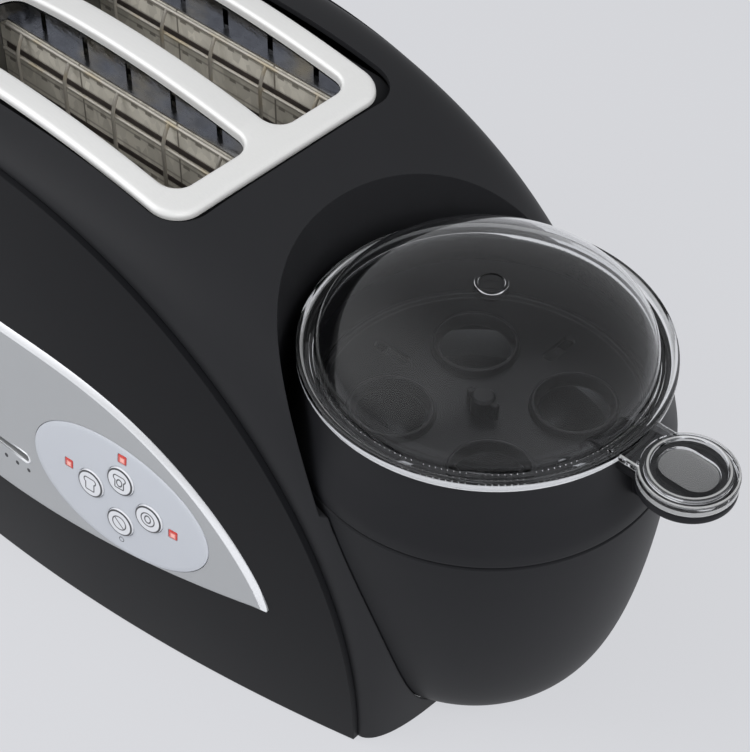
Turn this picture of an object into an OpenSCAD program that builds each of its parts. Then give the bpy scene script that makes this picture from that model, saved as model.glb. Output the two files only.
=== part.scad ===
// Two-slot toaster with a built-in egg cooker at one end.
// Frame: the origin lies on the table below the middle of the whole machine, +Z is up,
// +X points to the egg cooker and -Y to the side with the controls.

/* [Body shell] */
// Reach of the arched cover from the top of its arch to the cooker end
body_right = 211; // [204:1:220]
// Reach of the arched cover from the top of its arch to the lever end
body_left = 112; // [110:1:124]
// Height of the cover's crown above the table
body_h = 190; // [188:1:196]
// How far the crown rises above the crease on both sides
shoulder_rise = 10; // [6:1:12]
// How far the crown reaches past the crease at both ends
end_crown = 12; // [8:1:14]
// Distance from the middle plane to the front crease, where cover and side panel meet
band_front = 77.5; // [75:0.5:80]
// Distance from the middle plane to the rear crease
band_rear = 87; // [77:0.5:92]
// How far the front panel bulges out past its crease
bulge = 27.5; // [20:0.5:32]
// Wall of the moulded covers
wall = 2.6; // [2:0.1:3]
// Seam between neighbouring covers
seam = 0.2; // [0.1:0.05:0.3]
// Clearance between a piece and what it rests on
seat = 0.3; // [0.2:0.05:0.4]

/* [Base] */
// Height of the rubber feet below the base
foot_h = 3; // [2.5:0.5:5]
// Radius of a rubber foot
foot_r = 8; // [6:0.5:9]
// Thickness of the base plate
pan_t = 2.5; // [2:0.1:3]
// Radius of the case screws' shanks
screw_r = 1.5; // [1.25:0.05:1.75]

/* [Toast slots] */
// Length of a bread slot
slot_l = 135.8; // [130:0.2:140]
// Width of a bread slot
slot_w = 38.7; // [36:0.1:40]
// Width of the bar between the two slots
slot_bar = 12.6; // [12:0.1:15]
// Place of the slots' middle, from the top of the arch towards the cooker
slot_shift = 13.5; // [11:0.5:16]
// Margin of the steel plate round the slots
plate_margin = 10.6; // [10:0.1:12]
// Rise of the steel plate above the cover's crown
plate_rise = 2.4; // [1.6:0.1:3]
// Thickness of the sheet steel
sheet = 1.2; // [0.8:0.1:1.4]

/* [Toasting parts] */
// Distance of the heater boards from the middle of their slot
board_off = 15.2; // [14.8:0.1:16]
// Distance of an open bread guide from the middle of its slot
guide_off = 9.75; // [9.5:0.05:10.2]
// Travel of a bread guide as it closes on the bread
guide_travel = 4; // [3:0.1:4.2]
// Radius of the guide wires
wire_r = 0.8; // [0.6:0.05:0.9]
// Spacing of the upright guide wires
wire_pitch = 28.5; // [24:0.5:30]
// Travel of the toast lever
lever_travel = 70; // [60:1:72]
// Height of the lever when it is up
lever_z = 138; // [134:1:140]
// Radius of the two guide rods of the carriage
rod_r = 2; // [1.8:0.1:2.5]
// Running clearance of the carriage on its rods
rod_fit = 0.05; // [0.03:0.01:0.08]

/* [Controls] */
// How far the silver panel stands proud of the side
panel_proud = 1; // [0.6:0.1:1.4]
// Diameter of the push buttons
button_d = 12.6; // [11:0.1:13]
// Travel of a push button
button_travel = 1; // [0.6:0.1:1.2]
// Length of the slot of the browning control
slider_l = 80; // [70:1:84]
// Height of the slot of the browning control
slider_h = 3.5; // [3.2:0.1:4]

/* [Egg cooker] */
// Distance from the top of the arch to the cooker's axis
cooker_off = 190; // [186:1:196]
// Radius of the cooker at the seam between housing and bowl
seam_r = 70.5; // [69:0.1:72]
// Height of that seam
seam_z = 113; // [110:1:116]
// Radius of the flat bottom of the housing
bottom_r = 35; // [30:1:40]
// Gap between the bowl and the recess in the cover
recess_gap = 2.5; // [2:0.1:3]
// Depth of the bowl from its rim to the seam
bowl_h = 34.5; // [32:0.5:38]
// Radius of the bowl's rim
rim_r = 65.5; // [64:0.1:66]
// Wall of the bowl at its rim
bowl_wall = 2.5; // [2:0.1:3]
// Radius of the lid
lid_r = 67; // [66.6:0.1:68]
// Rise of the clear dome above the lid's rim
dome_h = 29; // [28:0.5:34]
// Wall of the clear lid
lid_wall = 2; // [1.6:0.1:2.4]
// Reach of the lid's tab from the cooker's axis
tab_reach = 106; // [102:1:108]
// Radius of the round end of the tab
tab_r = 18; // [16:0.5:18]
// Number of egg wells
wells = 4; // [2:1:4]
// Distance of the egg wells from the cooker's axis
well_off = 33.2; // [32:0.1:35]
// Radius of the hole in an egg well
well_r = 14; // [13:0.5:15]

/* [Hidden] */

$fn = 96;
eps = 0.01;

// Places along the machine
lever_reach = 14;
cooker_x = (cooker_off + body_left + lever_reach - tab_reach) / 2;
arch_x = cooker_x - cooker_off;
slot_x = arch_x + slot_shift;
end_x = arch_x - body_left;
slot_y = (slot_bar + slot_w) / 2;
base_z = foot_h;
pan_top = base_z + pan_t;
// Reach of the side panels to the front and the rear, and of the cover's border below each crease
side_reach = band_front + bulge;
cover_half = [band_front - wall - seam, band_rear - wall - seam];

// Exponents of the arches: rounder towards the cooker, squarer towards the lever
crown_n = [2.72, 4.5];
crease_n = [2.2, 3.6];
shoulder_n = 4.5;

// Steps of the lofted covers
arch_steps = 22;
band_steps = 8;
ring_steps = 9;

// One quarter of an arch, from its foot (u = 0) to its top (u = 1)
function quarter(a, h, n, u) =
    let (foot = asin(pow(base_z / h, n / 2)), t = foot + (90 - foot) * u)
    [a * pow(cos(t), 2 / n), h * pow(sin(t), 2 / n)];

// A whole arch, s = 0 at the cooker's foot, 1 at the top and 2 at the lever's foot
function arch(s, right, left, h, n) =
    let (q = s <= 1 ? quarter(right, h, n[0], s) : quarter(left, h, n[1], 2 - s))
    [arch_x + (s <= 1 ? q[0] : -q[0]), q[1]];

function crown(s, inset) =
    arch(s, body_right - inset, body_left - inset, body_h - inset, crown_n);

function crease(s, inset) =
    arch(s, body_right - end_crown - inset, body_left - end_crown - inset,
        body_h - shoulder_rise - inset, crease_n);

// Share of the crown that is reached at v, from -1 at one crease to 1 at the other
function shoulder(v) = sqrt(max(0, 1 - pow(abs(v), shoulder_n)));

function saddle_point(s, v, inset) =
    let (c = crease(s, inset), o = crown(s, inset), g = shoulder(v))
    [c[0] + (o[0] - c[0]) * g, v * cover_half[v < 0 ? 0 : 1], c[1] + (o[1] - c[1]) * g];

function saddle_rows(inset) =
    [for (i = [0:2 * arch_steps])
        [for (j = [-band_steps:band_steps])
            saddle_point(i / arch_steps, sin(90 * j / band_steps), inset)]];

// Distance of a side panel's outer face from the middle plane, at the front or past the rear crease
function side_y(x, z, band = band_front) =
    let (left = x < arch_x, n = left ? crease_n[1] : crease_n[0],
        a = (left ? body_left : body_right) - end_crown,
        rho = pow(pow(abs(x - arch_x) / a, n) + pow(z / (body_h - shoulder_rise), n), 1 / n))
    band + (side_reach - band) * (1 - rho * rho);

function rear_y(x, z) = side_y(x, z, band_rear);

function split(a, b, c, d) = [[a, b, c], [a, c, d]];

// Closed skin between two grids of points of the same size
module skin_between(outer, inner) {
    rows = len(outer);
    cols = len(outer[0]);
    n = rows * cols;
    top = (rows - 1) * cols;
    end = cols - 1;
    front = [for (i = [0:rows - 2], j = [0:cols - 2]) each
        split(i * cols + j, (i + 1) * cols + j, (i + 1) * cols + j + 1, i * cols + j + 1)];
    back = [for (f = front) [f[2] + n, f[1] + n, f[0] + n]];
    sides = [for (i = [0:rows - 2]) each concat(
        split(i * cols, i * cols + n, (i + 1) * cols + n, (i + 1) * cols),
        split(i * cols + end, (i + 1) * cols + end, (i + 1) * cols + end + n, i * cols + end + n))];
    ends = [for (j = [0:cols - 2]) each concat(
        split(j, j + 1, j + 1 + n, j + n),
        split(top + j + 1, top + j, top + j + n, top + j + 1 + n))];
    points = [for (grid = [outer, inner], row = grid, p = row) p];
    polyhedron(points, concat(front, back, sides, ends), convexity = 8);
}

// The arched cover as a thin shell, and as the solid below its outer face
module saddle_shell() skin_between(saddle_rows(0), saddle_rows(wall));

module saddle_solid() {
    rows = saddle_rows(0);
    skin_between(rows, [for (row = rows) [for (p = row) [p[0], p[1], base_z - 1]]]);
}

// One bulging side panel, drawn on the control side
module side_shell(band) {
    cols = 2 * arch_steps + 1;
    n = 1 + ring_steps * cols;
    mid = [arch_x, base_z];
    flat = [mid, for (j = [1:ring_steps], i = [0:cols - 1])
        mid + (crease(i / arch_steps, 0) - mid) * j / ring_steps];
    points = [for (depth = [0, wall], p = flat) [p[0], depth - side_y(p[0], p[1], band), p[1]]];
    function at(j, i) = j == 0 ? 0 : 1 + (j - 1) * cols + i;
    fan = [for (i = [0:cols - 2]) [0, at(1, i + 1), at(1, i)]];
    rings = [for (j = [1:ring_steps - 1], i = [0:cols - 2]) each
        split(at(j, i), at(j, i + 1), at(j + 1, i + 1), at(j + 1, i))];
    face = concat(fan, rings);
    back = [for (f = face) [f[2] + n, f[1] + n, f[0] + n]];
    rim = [for (i = [0:cols - 2]) each
        split(at(ring_steps, i), at(ring_steps, i + 1), at(ring_steps, i + 1) + n, at(ring_steps, i) + n)];
    foot = [for (j = [0:ring_steps - 1]) each concat(
        split(at(j, 0), at(j + 1, 0), at(j + 1, 0) + n, at(j, 0) + n),
        split(at(j + 1, cols - 1), at(j, cols - 1), at(j, cols - 1) + n, at(j + 1, cols - 1) + n))];
    polyhedron(points, concat(face, back, rim, foot), convexity = 8);
}

// Patch of that panel between two corners in X and Z, in nx by nz steps
module side_patch(low, high, proud, nx, nz, band = band_front) {
    function at(i, k, depth) =
        let (x = high[0] + (low[0] - high[0]) * i / nx, z = low[1] + (high[1] - low[1]) * k / nz)
        [x, depth - proud - side_y(x, z, band), z];
    skin_between([for (i = [0:nx]) [for (k = [0:nz]) at(i, k, 0)]],
        [for (i = [0:nx]) [for (k = [0:nz]) at(i, k, wall)]]);
}

// An outline drawn in X and Z, extruded from the middle plane to the control side
module side_prism(depth = 1.5 * side_reach) rotate([90, 0, 0]) linear_extrude(height = depth) children();

// An outline drawn in Y and Z, extruded by t along +X from x
module end_sheet(x, t) translate([x, 0, 0]) rotate([90, 0, 90]) linear_extrude(height = t) children();

module rounded(w, d, r) {
    square([w - 2 * r, d], center = true);
    square([w, d - 2 * r], center = true);
    for (x = [-1, 1], y = [-1, 1]) translate([x * (w / 2 - r), y * (d / 2 - r)]) circle(r);
}

module block(low, high) translate(low) cube(high - low);

module tube(r, hole, h) difference() {
    cylinder(r = r, h = h);
    translate([0, 0, -1]) cylinder(r = hole, h = h + 2);
}

// ---- Steel plate and its opening ----
plate_w = 2 * slot_w + slot_bar + 2 * plate_margin;
plate_l = slot_l + 2 * plate_margin;
plate_corner = 12;
slot_corner = 8;
plate_lip = 5;
slot_lip = 4;
plate_gap = 0.9;
ledge_w = 3;
ledge_t = 2.2;
plate_apex = arch_x - 12;
plate_steps = 20;

// The plate's arch, flatter towards the cooker than towards the lever
function plate_z(x) =
    body_h + plate_rise - (x > plate_apex ? 0.00094 : 0.0016) * pow(x - plate_apex, 2);

// A slab that follows the plate's arch, from drop below its top and depth thick
module plate_slab(drop, depth) {
    reach = plate_l / 2 + ledge_w;
    xs = [for (i = [0:plate_steps]) slot_x - reach + 2 * reach * i / plate_steps];
    top = [for (x = xs) [x, plate_z(x) - drop]];
    low = [for (i = [plate_steps:-1:0]) [xs[i], plate_z(xs[i]) - drop - depth]];
    translate([0, side_reach, 0]) side_prism(2 * side_reach) polygon(concat(top, low));
}

module plate_outline(grow) translate([slot_x, 0])
    rounded(plate_l + 2 * grow, plate_w + 2 * grow, plate_corner + grow);

module slot_outline(grow) for (side = [-1, 1]) translate([slot_x, side * slot_y])
    rounded(slot_l + 2 * grow, slot_w + 2 * grow, slot_corner + grow);

module tall() linear_extrude(height = body_h + 20) children();

module top_plate() color("#dcdddc") {
    intersection() {
        plate_slab(0, sheet);
        tall() difference() {
            plate_outline(0);
            slot_outline(0);
        }
    }
    intersection() {
        plate_slab(sheet / 2, plate_lip);
        tall() difference() {
            plate_outline(0);
            plate_outline(-sheet);
        }
    }
    intersection() {
        plate_slab(sheet / 2, slot_lip);
        tall() difference() {
            slot_outline(sheet);
            slot_outline(0);
        }
    }
}

// ---- Arched cover ----
recess_r = seam_r + recess_gap;
recess_z = seam_z - 4;
housing_gap = 0.4;
post_r = 4.5;
post_h = 26;
// Places of the screw posts: X, distance to the front and to the rear
cover_posts = [[end_x + wall + post_r - 0.2, 45, 45], [cooker_x + 7, 70, 70 + band_rear - band_front]];
post_at = [for (p = cover_posts) each [[p[0], -p[1]], [p[0], p[2]]]];
post_hole = 16;
stem_w = 5;
stem_h = 6;
slot_play = 0.8;

module cover_post(p) translate([p[0], p[1], pan_top + seat]) cylinder(r = post_r, h = post_h);

module body_cover() color("#323336") difference() {
    union() {
        saddle_shell();
        intersection() {
            union() {
                translate([cooker_x, 0, recess_z - wall]) cylinder(r = recess_r + wall, h = body_h);
                for (p = post_at) cover_post(p);
            }
            saddle_solid();
        }
        intersection() {
            plate_slab(sheet / 2 + plate_lip + seat, ledge_t);
            tall() difference() {
                plate_outline(plate_gap + 1);
                plate_outline(plate_gap - ledge_w);
            }
        }
    }
    translate([cooker_x, 0, recess_z]) cylinder(r = recess_r, h = body_h);
    translate([cooker_x, 0, 0]) housing_solid(housing_gap);
    translate([cooker_x, 0, seam_z - 10]) cylinder(r = seam_r + housing_gap, h = 12);
    intersection() {
        plate_slab(-8, 8 + sheet / 2 + plate_lip + seat);
        tall() plate_outline(plate_gap);
    }
    translate([0, 0, body_h / 2]) linear_extrude(height = body_h) plate_outline(plate_gap - ledge_w);
    block([end_x - 1, -stem_w / 2 - slot_play, lever_z - lever_travel - stem_h / 2 - slot_play],
        [end_x + 25, stem_w / 2 + slot_play, lever_z + stem_h / 2 + slot_play]);
    for (p = post_at) translate([p[0], p[1], 0]) cylinder(r = screw_r + 0.05, h = pan_top + post_hole);
}

// ---- Side panels ----
tray_gap = 1;
plates_in = [slot_x - slot_l / 2 - 5.6, slot_x + slot_l / 2 + 6.6];
tray_x = [plates_in[0] + 0.6, plates_in[1] - 0.6];
tray_z = pan_top + 1.5;
tray_top = 14;
tray_face = [base_z + 3.3, 18.7];
clip_x = [arch_x - 78, arch_x + 105, arch_x + 150];

// Outline of the lens-shaped silver trim: x of its tips, height of its tips, top and bottom
trim_x = cooker_x - 160;
trim_half = 132.6;
trim_left = 112;
trim_tip_z = 55.2;
trim_top_z = 121;
trim_low_z = 42.7;
trim_steps = 14;

function trim_edge(u) = let (side = u < 0 ? trim_left : trim_half) trim_x + side * u;
function trim_upper(u) = trim_tip_z + (trim_top_z - trim_tip_z) * pow(1 - pow(abs(u), 2.8), 0.78);
function trim_lower(u) = trim_low_z + (trim_tip_z - trim_low_z) * pow(abs(u), 1.8);

module trim_outline(grow) {
    us = [for (i = [-trim_steps:trim_steps]) sin(90 * i / trim_steps)];
    upper = [for (u = us) [trim_edge(u) + grow * u, trim_upper(u) + grow]];
    lower = [for (i = [2 * trim_steps:-1:0]) [trim_edge(us[i]) + grow * us[i], trim_lower(us[i]) - grow]];
    polygon(concat(upper, lower));
}

module side_panel(band) {
    side_shell(band);
    for (x = clip_x) {
        y = side_y(x, pan_top + seat, band) - wall;
        block([x - 6, -y - eps - 0.4, pan_top + seat], [x + 6, 6 - y, pan_top + seat + 3]);
    }
}

module front_panel() color("#27282b") difference() {
    side_panel(band_front);
    side_prism() trim_outline(seat - 0.05);
}

inlet_x = cooker_x - 60;
inlet_z = 24;
inlet_r = 6;
vent_w = 2.4;
vent_h = 26;

module rear_panel() color("#27282b") difference() {
    mirror([0, 1, 0]) side_panel(band_rear);
    block([tray_x[0] - tray_gap, 0, tray_face[0] - seat],
        [tray_x[1] + tray_gap, 1.5 * side_reach, tray_face[1] + seat]);
    translate([inlet_x, 0, inlet_z]) rotate([-90, 0, 0]) cylinder(r = inlet_r + 0.05, h = 1.5 * side_reach);
    for (i = [0:13]) translate([arch_x - 40 + 9 * i, side_reach / 2, 62])
        mirror([0, 1, 0]) rotate([90, 0, 0]) linear_extrude(height = side_reach)
            rounded(vent_w, vent_h, vent_w / 2 - eps);
}

// Grommet in the rear where a mains lead comes out
module cord_inlet() color("#1b1b1d") {
    y = rear_y(inlet_x, inlet_z);
    translate([inlet_x, y - wall - 5, inlet_z]) rotate([-90, 0, 0]) {
        tube(inlet_r, 4, wall + 7.5);
        translate([0, 0, 1.2]) tube(inlet_r + 2, 4, 2);
    }
}

// ---- Base ----
housing_hole = 50.5;
feet = [[end_x + 24, 64], [cooker_x - 18, 68]];
vent_rows = 6;
rod_x = end_x + 33.5;
rod_y = 14;
boss_top = 12;
flange_r = 60;
flange_z = pan_top + seat;
flange_t = 2.2;
flange_screws = [130, 180, 230];
runner_x = [tray_x[0] + 14, tray_x[1] - 14];

function pan_points() =
    let (gap = wall + seat, n = 24, m = 8,
        right = arch_x + body_right - end_crown - gap, left = arch_x - body_left + end_crown + gap,
        half = [for (h = cover_half) h - eps])
    concat(
        [for (k = [0:n]) let (x = right + (left - right) * k / n) [x, rear_y(x, base_z) - gap]],
        [for (k = [0:m]) let (v = cos(180 * k / m)) [left - end_crown * shoulder(v), v * half[v < 0 ? 0 : 1]]],
        [for (k = [n:-1:0]) let (x = right + (left - right) * k / n) [x, gap - side_y(x, base_z)]],
        [for (k = [0:m]) let (v = -cos(180 * k / m)) [right + end_crown * shoulder(v), v * half[v < 0 ? 0 : 1]]]);

module base_pan() color("#242527") difference() {
    union() {
        translate([0, 0, base_z]) linear_extrude(height = pan_t) polygon(pan_points());
        for (side = [-1, 1]) translate([rod_x, side * rod_y, pan_top - eps])
            cylinder(r = 5, h = boss_top - pan_top);
        for (x = runner_x) block([x - 1.5, -52, pan_top - eps], [x + 1.5, 88, tray_z - seat]);
    }
    translate([cooker_x, 0, 0]) cylinder(r = housing_hole, h = 20);
    for (p = feet, side = [-1, 1]) translate([p[0], side * p[1], 0]) cylinder(r = 2.6, h = 20);
    for (p = post_at) translate([p[0], p[1], 0]) {
        cylinder(r = screw_r + 0.2, h = 20);
        cylinder(r = 2 * screw_r + 0.3, h = base_z + 1.4);
    }
    for (a = flange_screws) translate([cooker_x, 0, 0]) rotate(a) translate([flange_r - 4.5, 0, 0])
        cylinder(r = screw_r + 0.05, h = 20);
    for (side = [-1, 1]) translate([rod_x, side * rod_y, base_z + 1])
        cylinder(r = rod_r + 0.05, h = 20);
    for (i = [0:vent_rows - 1]) translate([slot_x + 18 * (i - (vent_rows - 1) / 2), 0, 0])
        linear_extrude(height = 20) rounded(4, 60, 2 - eps);
}

module rubber_feet() color("#17181a") for (p = feet, side = [-1, 1]) translate([p[0], side * p[1], 0]) {
    cylinder(r1 = foot_r - 1, r2 = foot_r, h = 1);
    translate([0, 0, 1]) cylinder(r = foot_r, h = foot_h - 1);
    cylinder(r = 2.5, h = pan_top + 1.5);
    translate([0, 0, pan_top + 0.1]) cylinder(r1 = 3.2, r2 = 2.2, h = 1.4);
}

module screw(shank) {
    cylinder(r = screw_r, h = shank);
    cylinder(r = 2 * screw_r, h = 1.2);
}

module case_screws() color("#8d8f92") {
    for (p = post_at) translate([p[0], p[1], base_z + 0.1]) screw(14);
    for (a = flange_screws) translate([cooker_x, 0, 0]) rotate(a)
        translate([flange_r - 4.5, 0, flange_z + flange_t + 1.3]) mirror([0, 0, 1]) screw(6);
}

// ---- Toaster chassis ----
plate_t = 1;
chassis_w = 100;
chassis_top = body_h - 12.9;
chassis_corner = 7;
shelf_z = chassis_top - 8;
throat_z = chassis_top + seat;
board_t = 0.8;
board_z = [34, chassis_top - seat];
guide_z = [40, chassis_top - 9];
// Distance between the axes of two crossing wires at their weld
wire_set = 1.25 * wire_r;
flare_off = board_off - board_t / 2 - 1.1 * wire_r - seat;
through_z = [74, 134];
bar_h = 3;
bar_t = 2;
rack_z = lever_z - 22;

module guide_slots() for (side = [-1, 1], way = [-1, 1], z = through_z)
    translate([side * slot_y + way * (guide_off + wire_set - guide_travel / 2), z])
        square([guide_travel + 2 * wire_r + 0.6, 2 * wire_r + 0.6], center = true);

module rack_slots() for (side = [-1, 1])
    translate([side * slot_y - bar_t / 2 - 0.4, rack_z - lever_travel - 0.5])
        square([bar_t + 0.8, lever_travel + bar_h + 1]);

// Sheet that closes the chassis at one end, with its top corners cut off below the cover's ledge
module end_plate_outline() difference() {
    polygon([[-chassis_w / 2, pan_top], [chassis_w / 2, pan_top], [chassis_w / 2, chassis_top - chassis_corner],
        [chassis_w / 2 - chassis_corner, chassis_top], [chassis_corner - chassis_w / 2, chassis_top],
        [-chassis_w / 2, chassis_top - chassis_corner]]);
    guide_slots();
    rack_slots();
}

module lever_end_plate() color("#c3c5c6") difference() {
    union() {
        end_sheet(plates_in[0] - plate_t, plate_t) end_plate_outline();
        translate([0, 0, shelf_z]) linear_extrude(height = 1.5) polygon([
            [plates_in[0] - plate_t / 2, -24], [plates_in[0] - plate_t / 2, 24],
            [rod_x - 6, 20], [rod_x - 6, -20]]);
    }
    for (side = [-1, 1]) translate([rod_x, side * rod_y, shelf_z - 5]) cylinder(r = rod_r + 0.05, h = 20);
}

module cooker_end_plate() color("#c3c5c6") end_sheet(plates_in[1], plate_t) end_plate_outline();

module reflectors() color("#b9bbbc") for (side = [-1, 1])
    translate([0, side * (chassis_w / 2 - 3), 0])
        block([plates_in[0] + seat, -0.4, 22], [plates_in[1] - seat, 0.4, chassis_top - chassis_corner]);

// Sheet collars below the plate's slots, stepped in to the heater boards
module slot_throats() color("#6f7277") difference() {
    union() {
        intersection() {
            plate_slab(sheet / 2 + slot_lip + seat, 20);
            translate([0, 0, throat_z]) linear_extrude(height = 30) difference() {
                slot_outline(plate_t);
                slot_outline(0.2);
            }
        }
        translate([0, 0, throat_z]) linear_extrude(height = 0.8) difference() {
            for (side = [-1, 1]) translate([slot_x, side * slot_y])
                square([plates_in[1] - plates_in[0] + 1.6, slot_w + 2 * plate_t], center = true);
            for (side = [-1, 1]) translate([slot_x, side * slot_y])
                square([slot_l, 2 * board_off - board_t], center = true);
        }
    }
    for (i = [-2:2], side = [-1, 1]) translate([slot_x + 25 * i, side * slot_y, throat_z + 4.8])
        cube([3, slot_w + 6, 8], center = true);
}

ribbon_rows = 8;
ribbon_w = 2.4;
ribbon_t = 0.3;
ribbon_end = 0.5;
ribbon_l = slot_l + 4;
ribbon_margin = 12;
ribbon_pitch = (board_z[1] - board_z[0] - 2 * ribbon_margin) / (ribbon_rows - 1);
ribbon_z = [for (i = [0:ribbon_rows - 1]) board_z[0] + ribbon_margin + ribbon_pitch * i];

// Mica boards, with the holes that the ribbons pass through
module heater_boards() color("#a59a86") for (side = [-1, 1], way = [-1, 1])
    translate([0, side * slot_y + way * board_off, 0]) difference() {
        block([plates_in[0] + seat, -board_t / 2, board_z[0]], [plates_in[1] - seat, board_t / 2, board_z[1]]);
        for (z = ribbon_z, end = [-1, 1]) translate([slot_x + end * (ribbon_l - ribbon_end) / 2, 0, z])
            cube([ribbon_end + 0.4, board_t + 1, ribbon_w + 0.4], center = true);
    }

// Flat heating ribbons wound round each board
module heater_ribbons() color("#8a8078") for (side = [-1, 1], way = [-1, 1], z = ribbon_z)
    translate([slot_x, side * slot_y + way * board_off, z]) difference() {
        cube([ribbon_l, board_t + 2 * ribbon_t + 0.1, ribbon_w], center = true);
        cube([ribbon_l - 2 * ribbon_end, board_t + 0.1, ribbon_w + 1], center = true);
    }

module rod_between(a, b, r) {
    d = b - a;
    translate(a) rotate([0, acos(d[2] / norm(d)), atan2(d[1], d[0])]) cylinder(r = r, h = norm(d), $fn = 24);
}

// Wire cage that leans on the bread; way points from the bread to the heater board.
// The upright wires face the bread and the level wires are welded on behind them.
module guide_frame() {
    back = -guide_off - wire_set;
    tip_z = chassis_top - wire_r;
    n = floor((slot_l / 2 - 4) / wire_pitch);
    span = slot_l / 2 - 1;
    reach = slot_x - plates_in[0] + plate_t + 1.5;
    for (i = [-n:n]) {
        rod_between([i * wire_pitch, -guide_off, guide_z[0] - wire_r - 0.5], [i * wire_pitch, -guide_off, guide_z[1]],
            wire_r);
        rod_between([i * wire_pitch, -guide_off, guide_z[1] - wire_r], [i * wire_pitch, -flare_off, tip_z],
            0.95 * wire_r);
    }
    for (z = [guide_z[0], (through_z[0] + through_z[1]) / 2, guide_z[1] - wire_r])
        rod_between([-span, back, z], [span, back, z], wire_r);
    rod_between([-span, -flare_off, tip_z], [span, -flare_off, tip_z], 1.1 * wire_r);
    for (z = through_z) rod_between([-reach, back, z], [reach, back, z], wire_r);
}

module bread_guide(side, way) translate([slot_x, side * slot_y, 0]) rotate(90 + 90 * way) guide_frame();

module front_outer_guide() color("#b4b2aa") bread_guide(-1, -1);
module front_inner_guide() color("#b4b2aa") bread_guide(-1, 1);
module rear_inner_guide() color("#b4b2aa") bread_guide(1, -1);
module rear_outer_guide() color("#b4b2aa") bread_guide(1, 1);

// ---- Carriage, lever and lift springs ----
bush_r = 4.5;
carriage_x = rod_x + bush_r + 0.5;
carriage_t = 1.5;
carriage_z = [lever_z - 26, lever_z + 6];
knob_w = 34;
knob_h = 20;
knob_depth = 12;
knob_x = end_x - lever_reach;

module bread_racks() color("#b9b9b3") for (side = [-1, 1]) translate([0, side * slot_y, 0]) {
    block([carriage_x + carriage_t + eps, -bar_t / 2, rack_z],
        [plates_in[1] + plate_t + 1.5, bar_t / 2, rack_z + bar_h]);
    for (i = [-4:4]) translate([slot_x + 14 * i, 0, rack_z + bar_h - wire_r]) rotate([90, 0, 0])
        cylinder(r = wire_r, h = 7.4, center = true, $fn = 24);
}

module carriage() color("#a9abad") difference() {
    union() {
        end_sheet(carriage_x, carriage_t) {
            translate([0, (carriage_z[0] + carriage_z[1]) / 2])
                rounded(2 * rod_y + 8, carriage_z[1] - carriage_z[0], 3);
            for (side = [-1, 1]) translate([side * slot_y - 3, rack_z - 3]) square([6, bar_h + 6]);
            translate([-slot_y, rack_z - 3]) square([2 * slot_y, bar_h + 6]);
        }
        for (side = [-1, 1]) translate([rod_x, side * rod_y, carriage_z[0]])
            cylinder(r = bush_r, h = carriage_z[1] - carriage_z[0]);
        for (side = [-1, 1]) block([rod_x, side * rod_y - 2, carriage_z[0]],
            [carriage_x + eps, side * rod_y + 2, carriage_z[1]]);
        block([knob_x + 4, -stem_w / 2, lever_z - stem_h / 2], [carriage_x + eps, stem_w / 2, lever_z + stem_h / 2]);
        block([end_x + 10, -6, lever_z - stem_h / 2 - 4], [end_x + 20, 6, lever_z - stem_h / 2 + eps]);
    }
    for (side = [-1, 1]) translate([rod_x, side * rod_y, 0]) cylinder(r = rod_r + rod_fit, h = 2 * lever_z);
}

module lever_knob() color("#2a2b2d") difference() {
    union() {
        translate([0, 0, lever_z]) end_sheet(knob_x, knob_depth) rounded(knob_w, knob_h, 6);
        translate([0, 0, lever_z + knob_h / 2 - 3]) end_sheet(knob_x, 3) rounded(knob_w - 6, 2, 0.9);
    }
    block([knob_x + 3.8, -stem_w / 2 - 0.05, lever_z - stem_h / 2 - 0.05],
        [knob_x + knob_depth + 1, stem_w / 2 + 0.05, lever_z + stem_h / 2 + 0.05]);
    for (i = [-2:2]) translate([knob_x, 0, lever_z + 3.2 * i]) rotate([90, 0, 0])
        cylinder(r = 0.7, h = knob_w - 12, center = true, $fn = 24);
}

module guide_rods() color("#cfd1d2") for (side = [-1, 1])
    translate([rod_x, side * rod_y, base_z + 1.1]) cylinder(r = rod_r, h = shelf_z + 4 - base_z - 1.1);

module lift_springs() color("#9a9ca0") for (side = [-1, 1])
    translate([rod_x, side * rod_y, boss_top + seat])
        tube(rod_r + 1.5, rod_r + 0.6, carriage_z[0] - boss_top - 2 * seat);

magnet_top = lever_z - lever_travel - stem_h / 2 - 4 - 0.5;
magnet_h = 22;

// Electromagnet that holds the lever down, with its coil
module latch_magnet() color("#8c5a3a") {
    block([end_x + 9, -7.9, magnet_top - magnet_h], [end_x + 19, 7.9, magnet_top]);
    translate([end_x + 14, 0, magnet_top - magnet_h + 2]) cylinder(r = 7.9, h = magnet_h - 6);
}

module latch_board() color("#3f6b45")
    block([end_x + 5.5, 8.2, pan_top + seat], [end_x + 26, 9.8, magnet_top + 2]);

// Sheet drawer below the heaters, with a moulded front that closes the rear opening
module crumb_tray() {
    color("#b9bbbc") {
        low = [tray_x[0], -52, tray_z];
        high = [tray_x[1], rear_y(tray_x[0], tray_top) - wall - 1, tray_top];
        difference() {
            block(low, high);
            block(low + [0.8, 0.8, 0.8], high + [-0.8, -0.8, 1]);
        }
        block([slot_x - 30, high[1] - 0.5, tray_z + 1],
            [slot_x + 30, rear_y(slot_x, tray_z) - wall / 2, tray_z + 4]);
    }
    color("#27282b") mirror([0, 1, 0]) side_patch([tray_x[0] - tray_gap + seat, tray_face[0]],
        [tray_x[1] + tray_gap - seat, tray_face[1]], 0, 14, 2, band_rear);
}

// ---- Controls ----
pad_x = cooker_x - 96;
pad_z = 74;
pad_half = [43, 26];
pad_proud = panel_proud + 0.4;
button_proud = pad_proud + 0.8;
button_gap = 0.2;
// Places of the buttons from the pad's middle: toast, toast and egg, egg, stop
button_at = [[-12.6, 0.3], [2.1, 10.1], [15.9, -0.7], [2, -11.1]];
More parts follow.
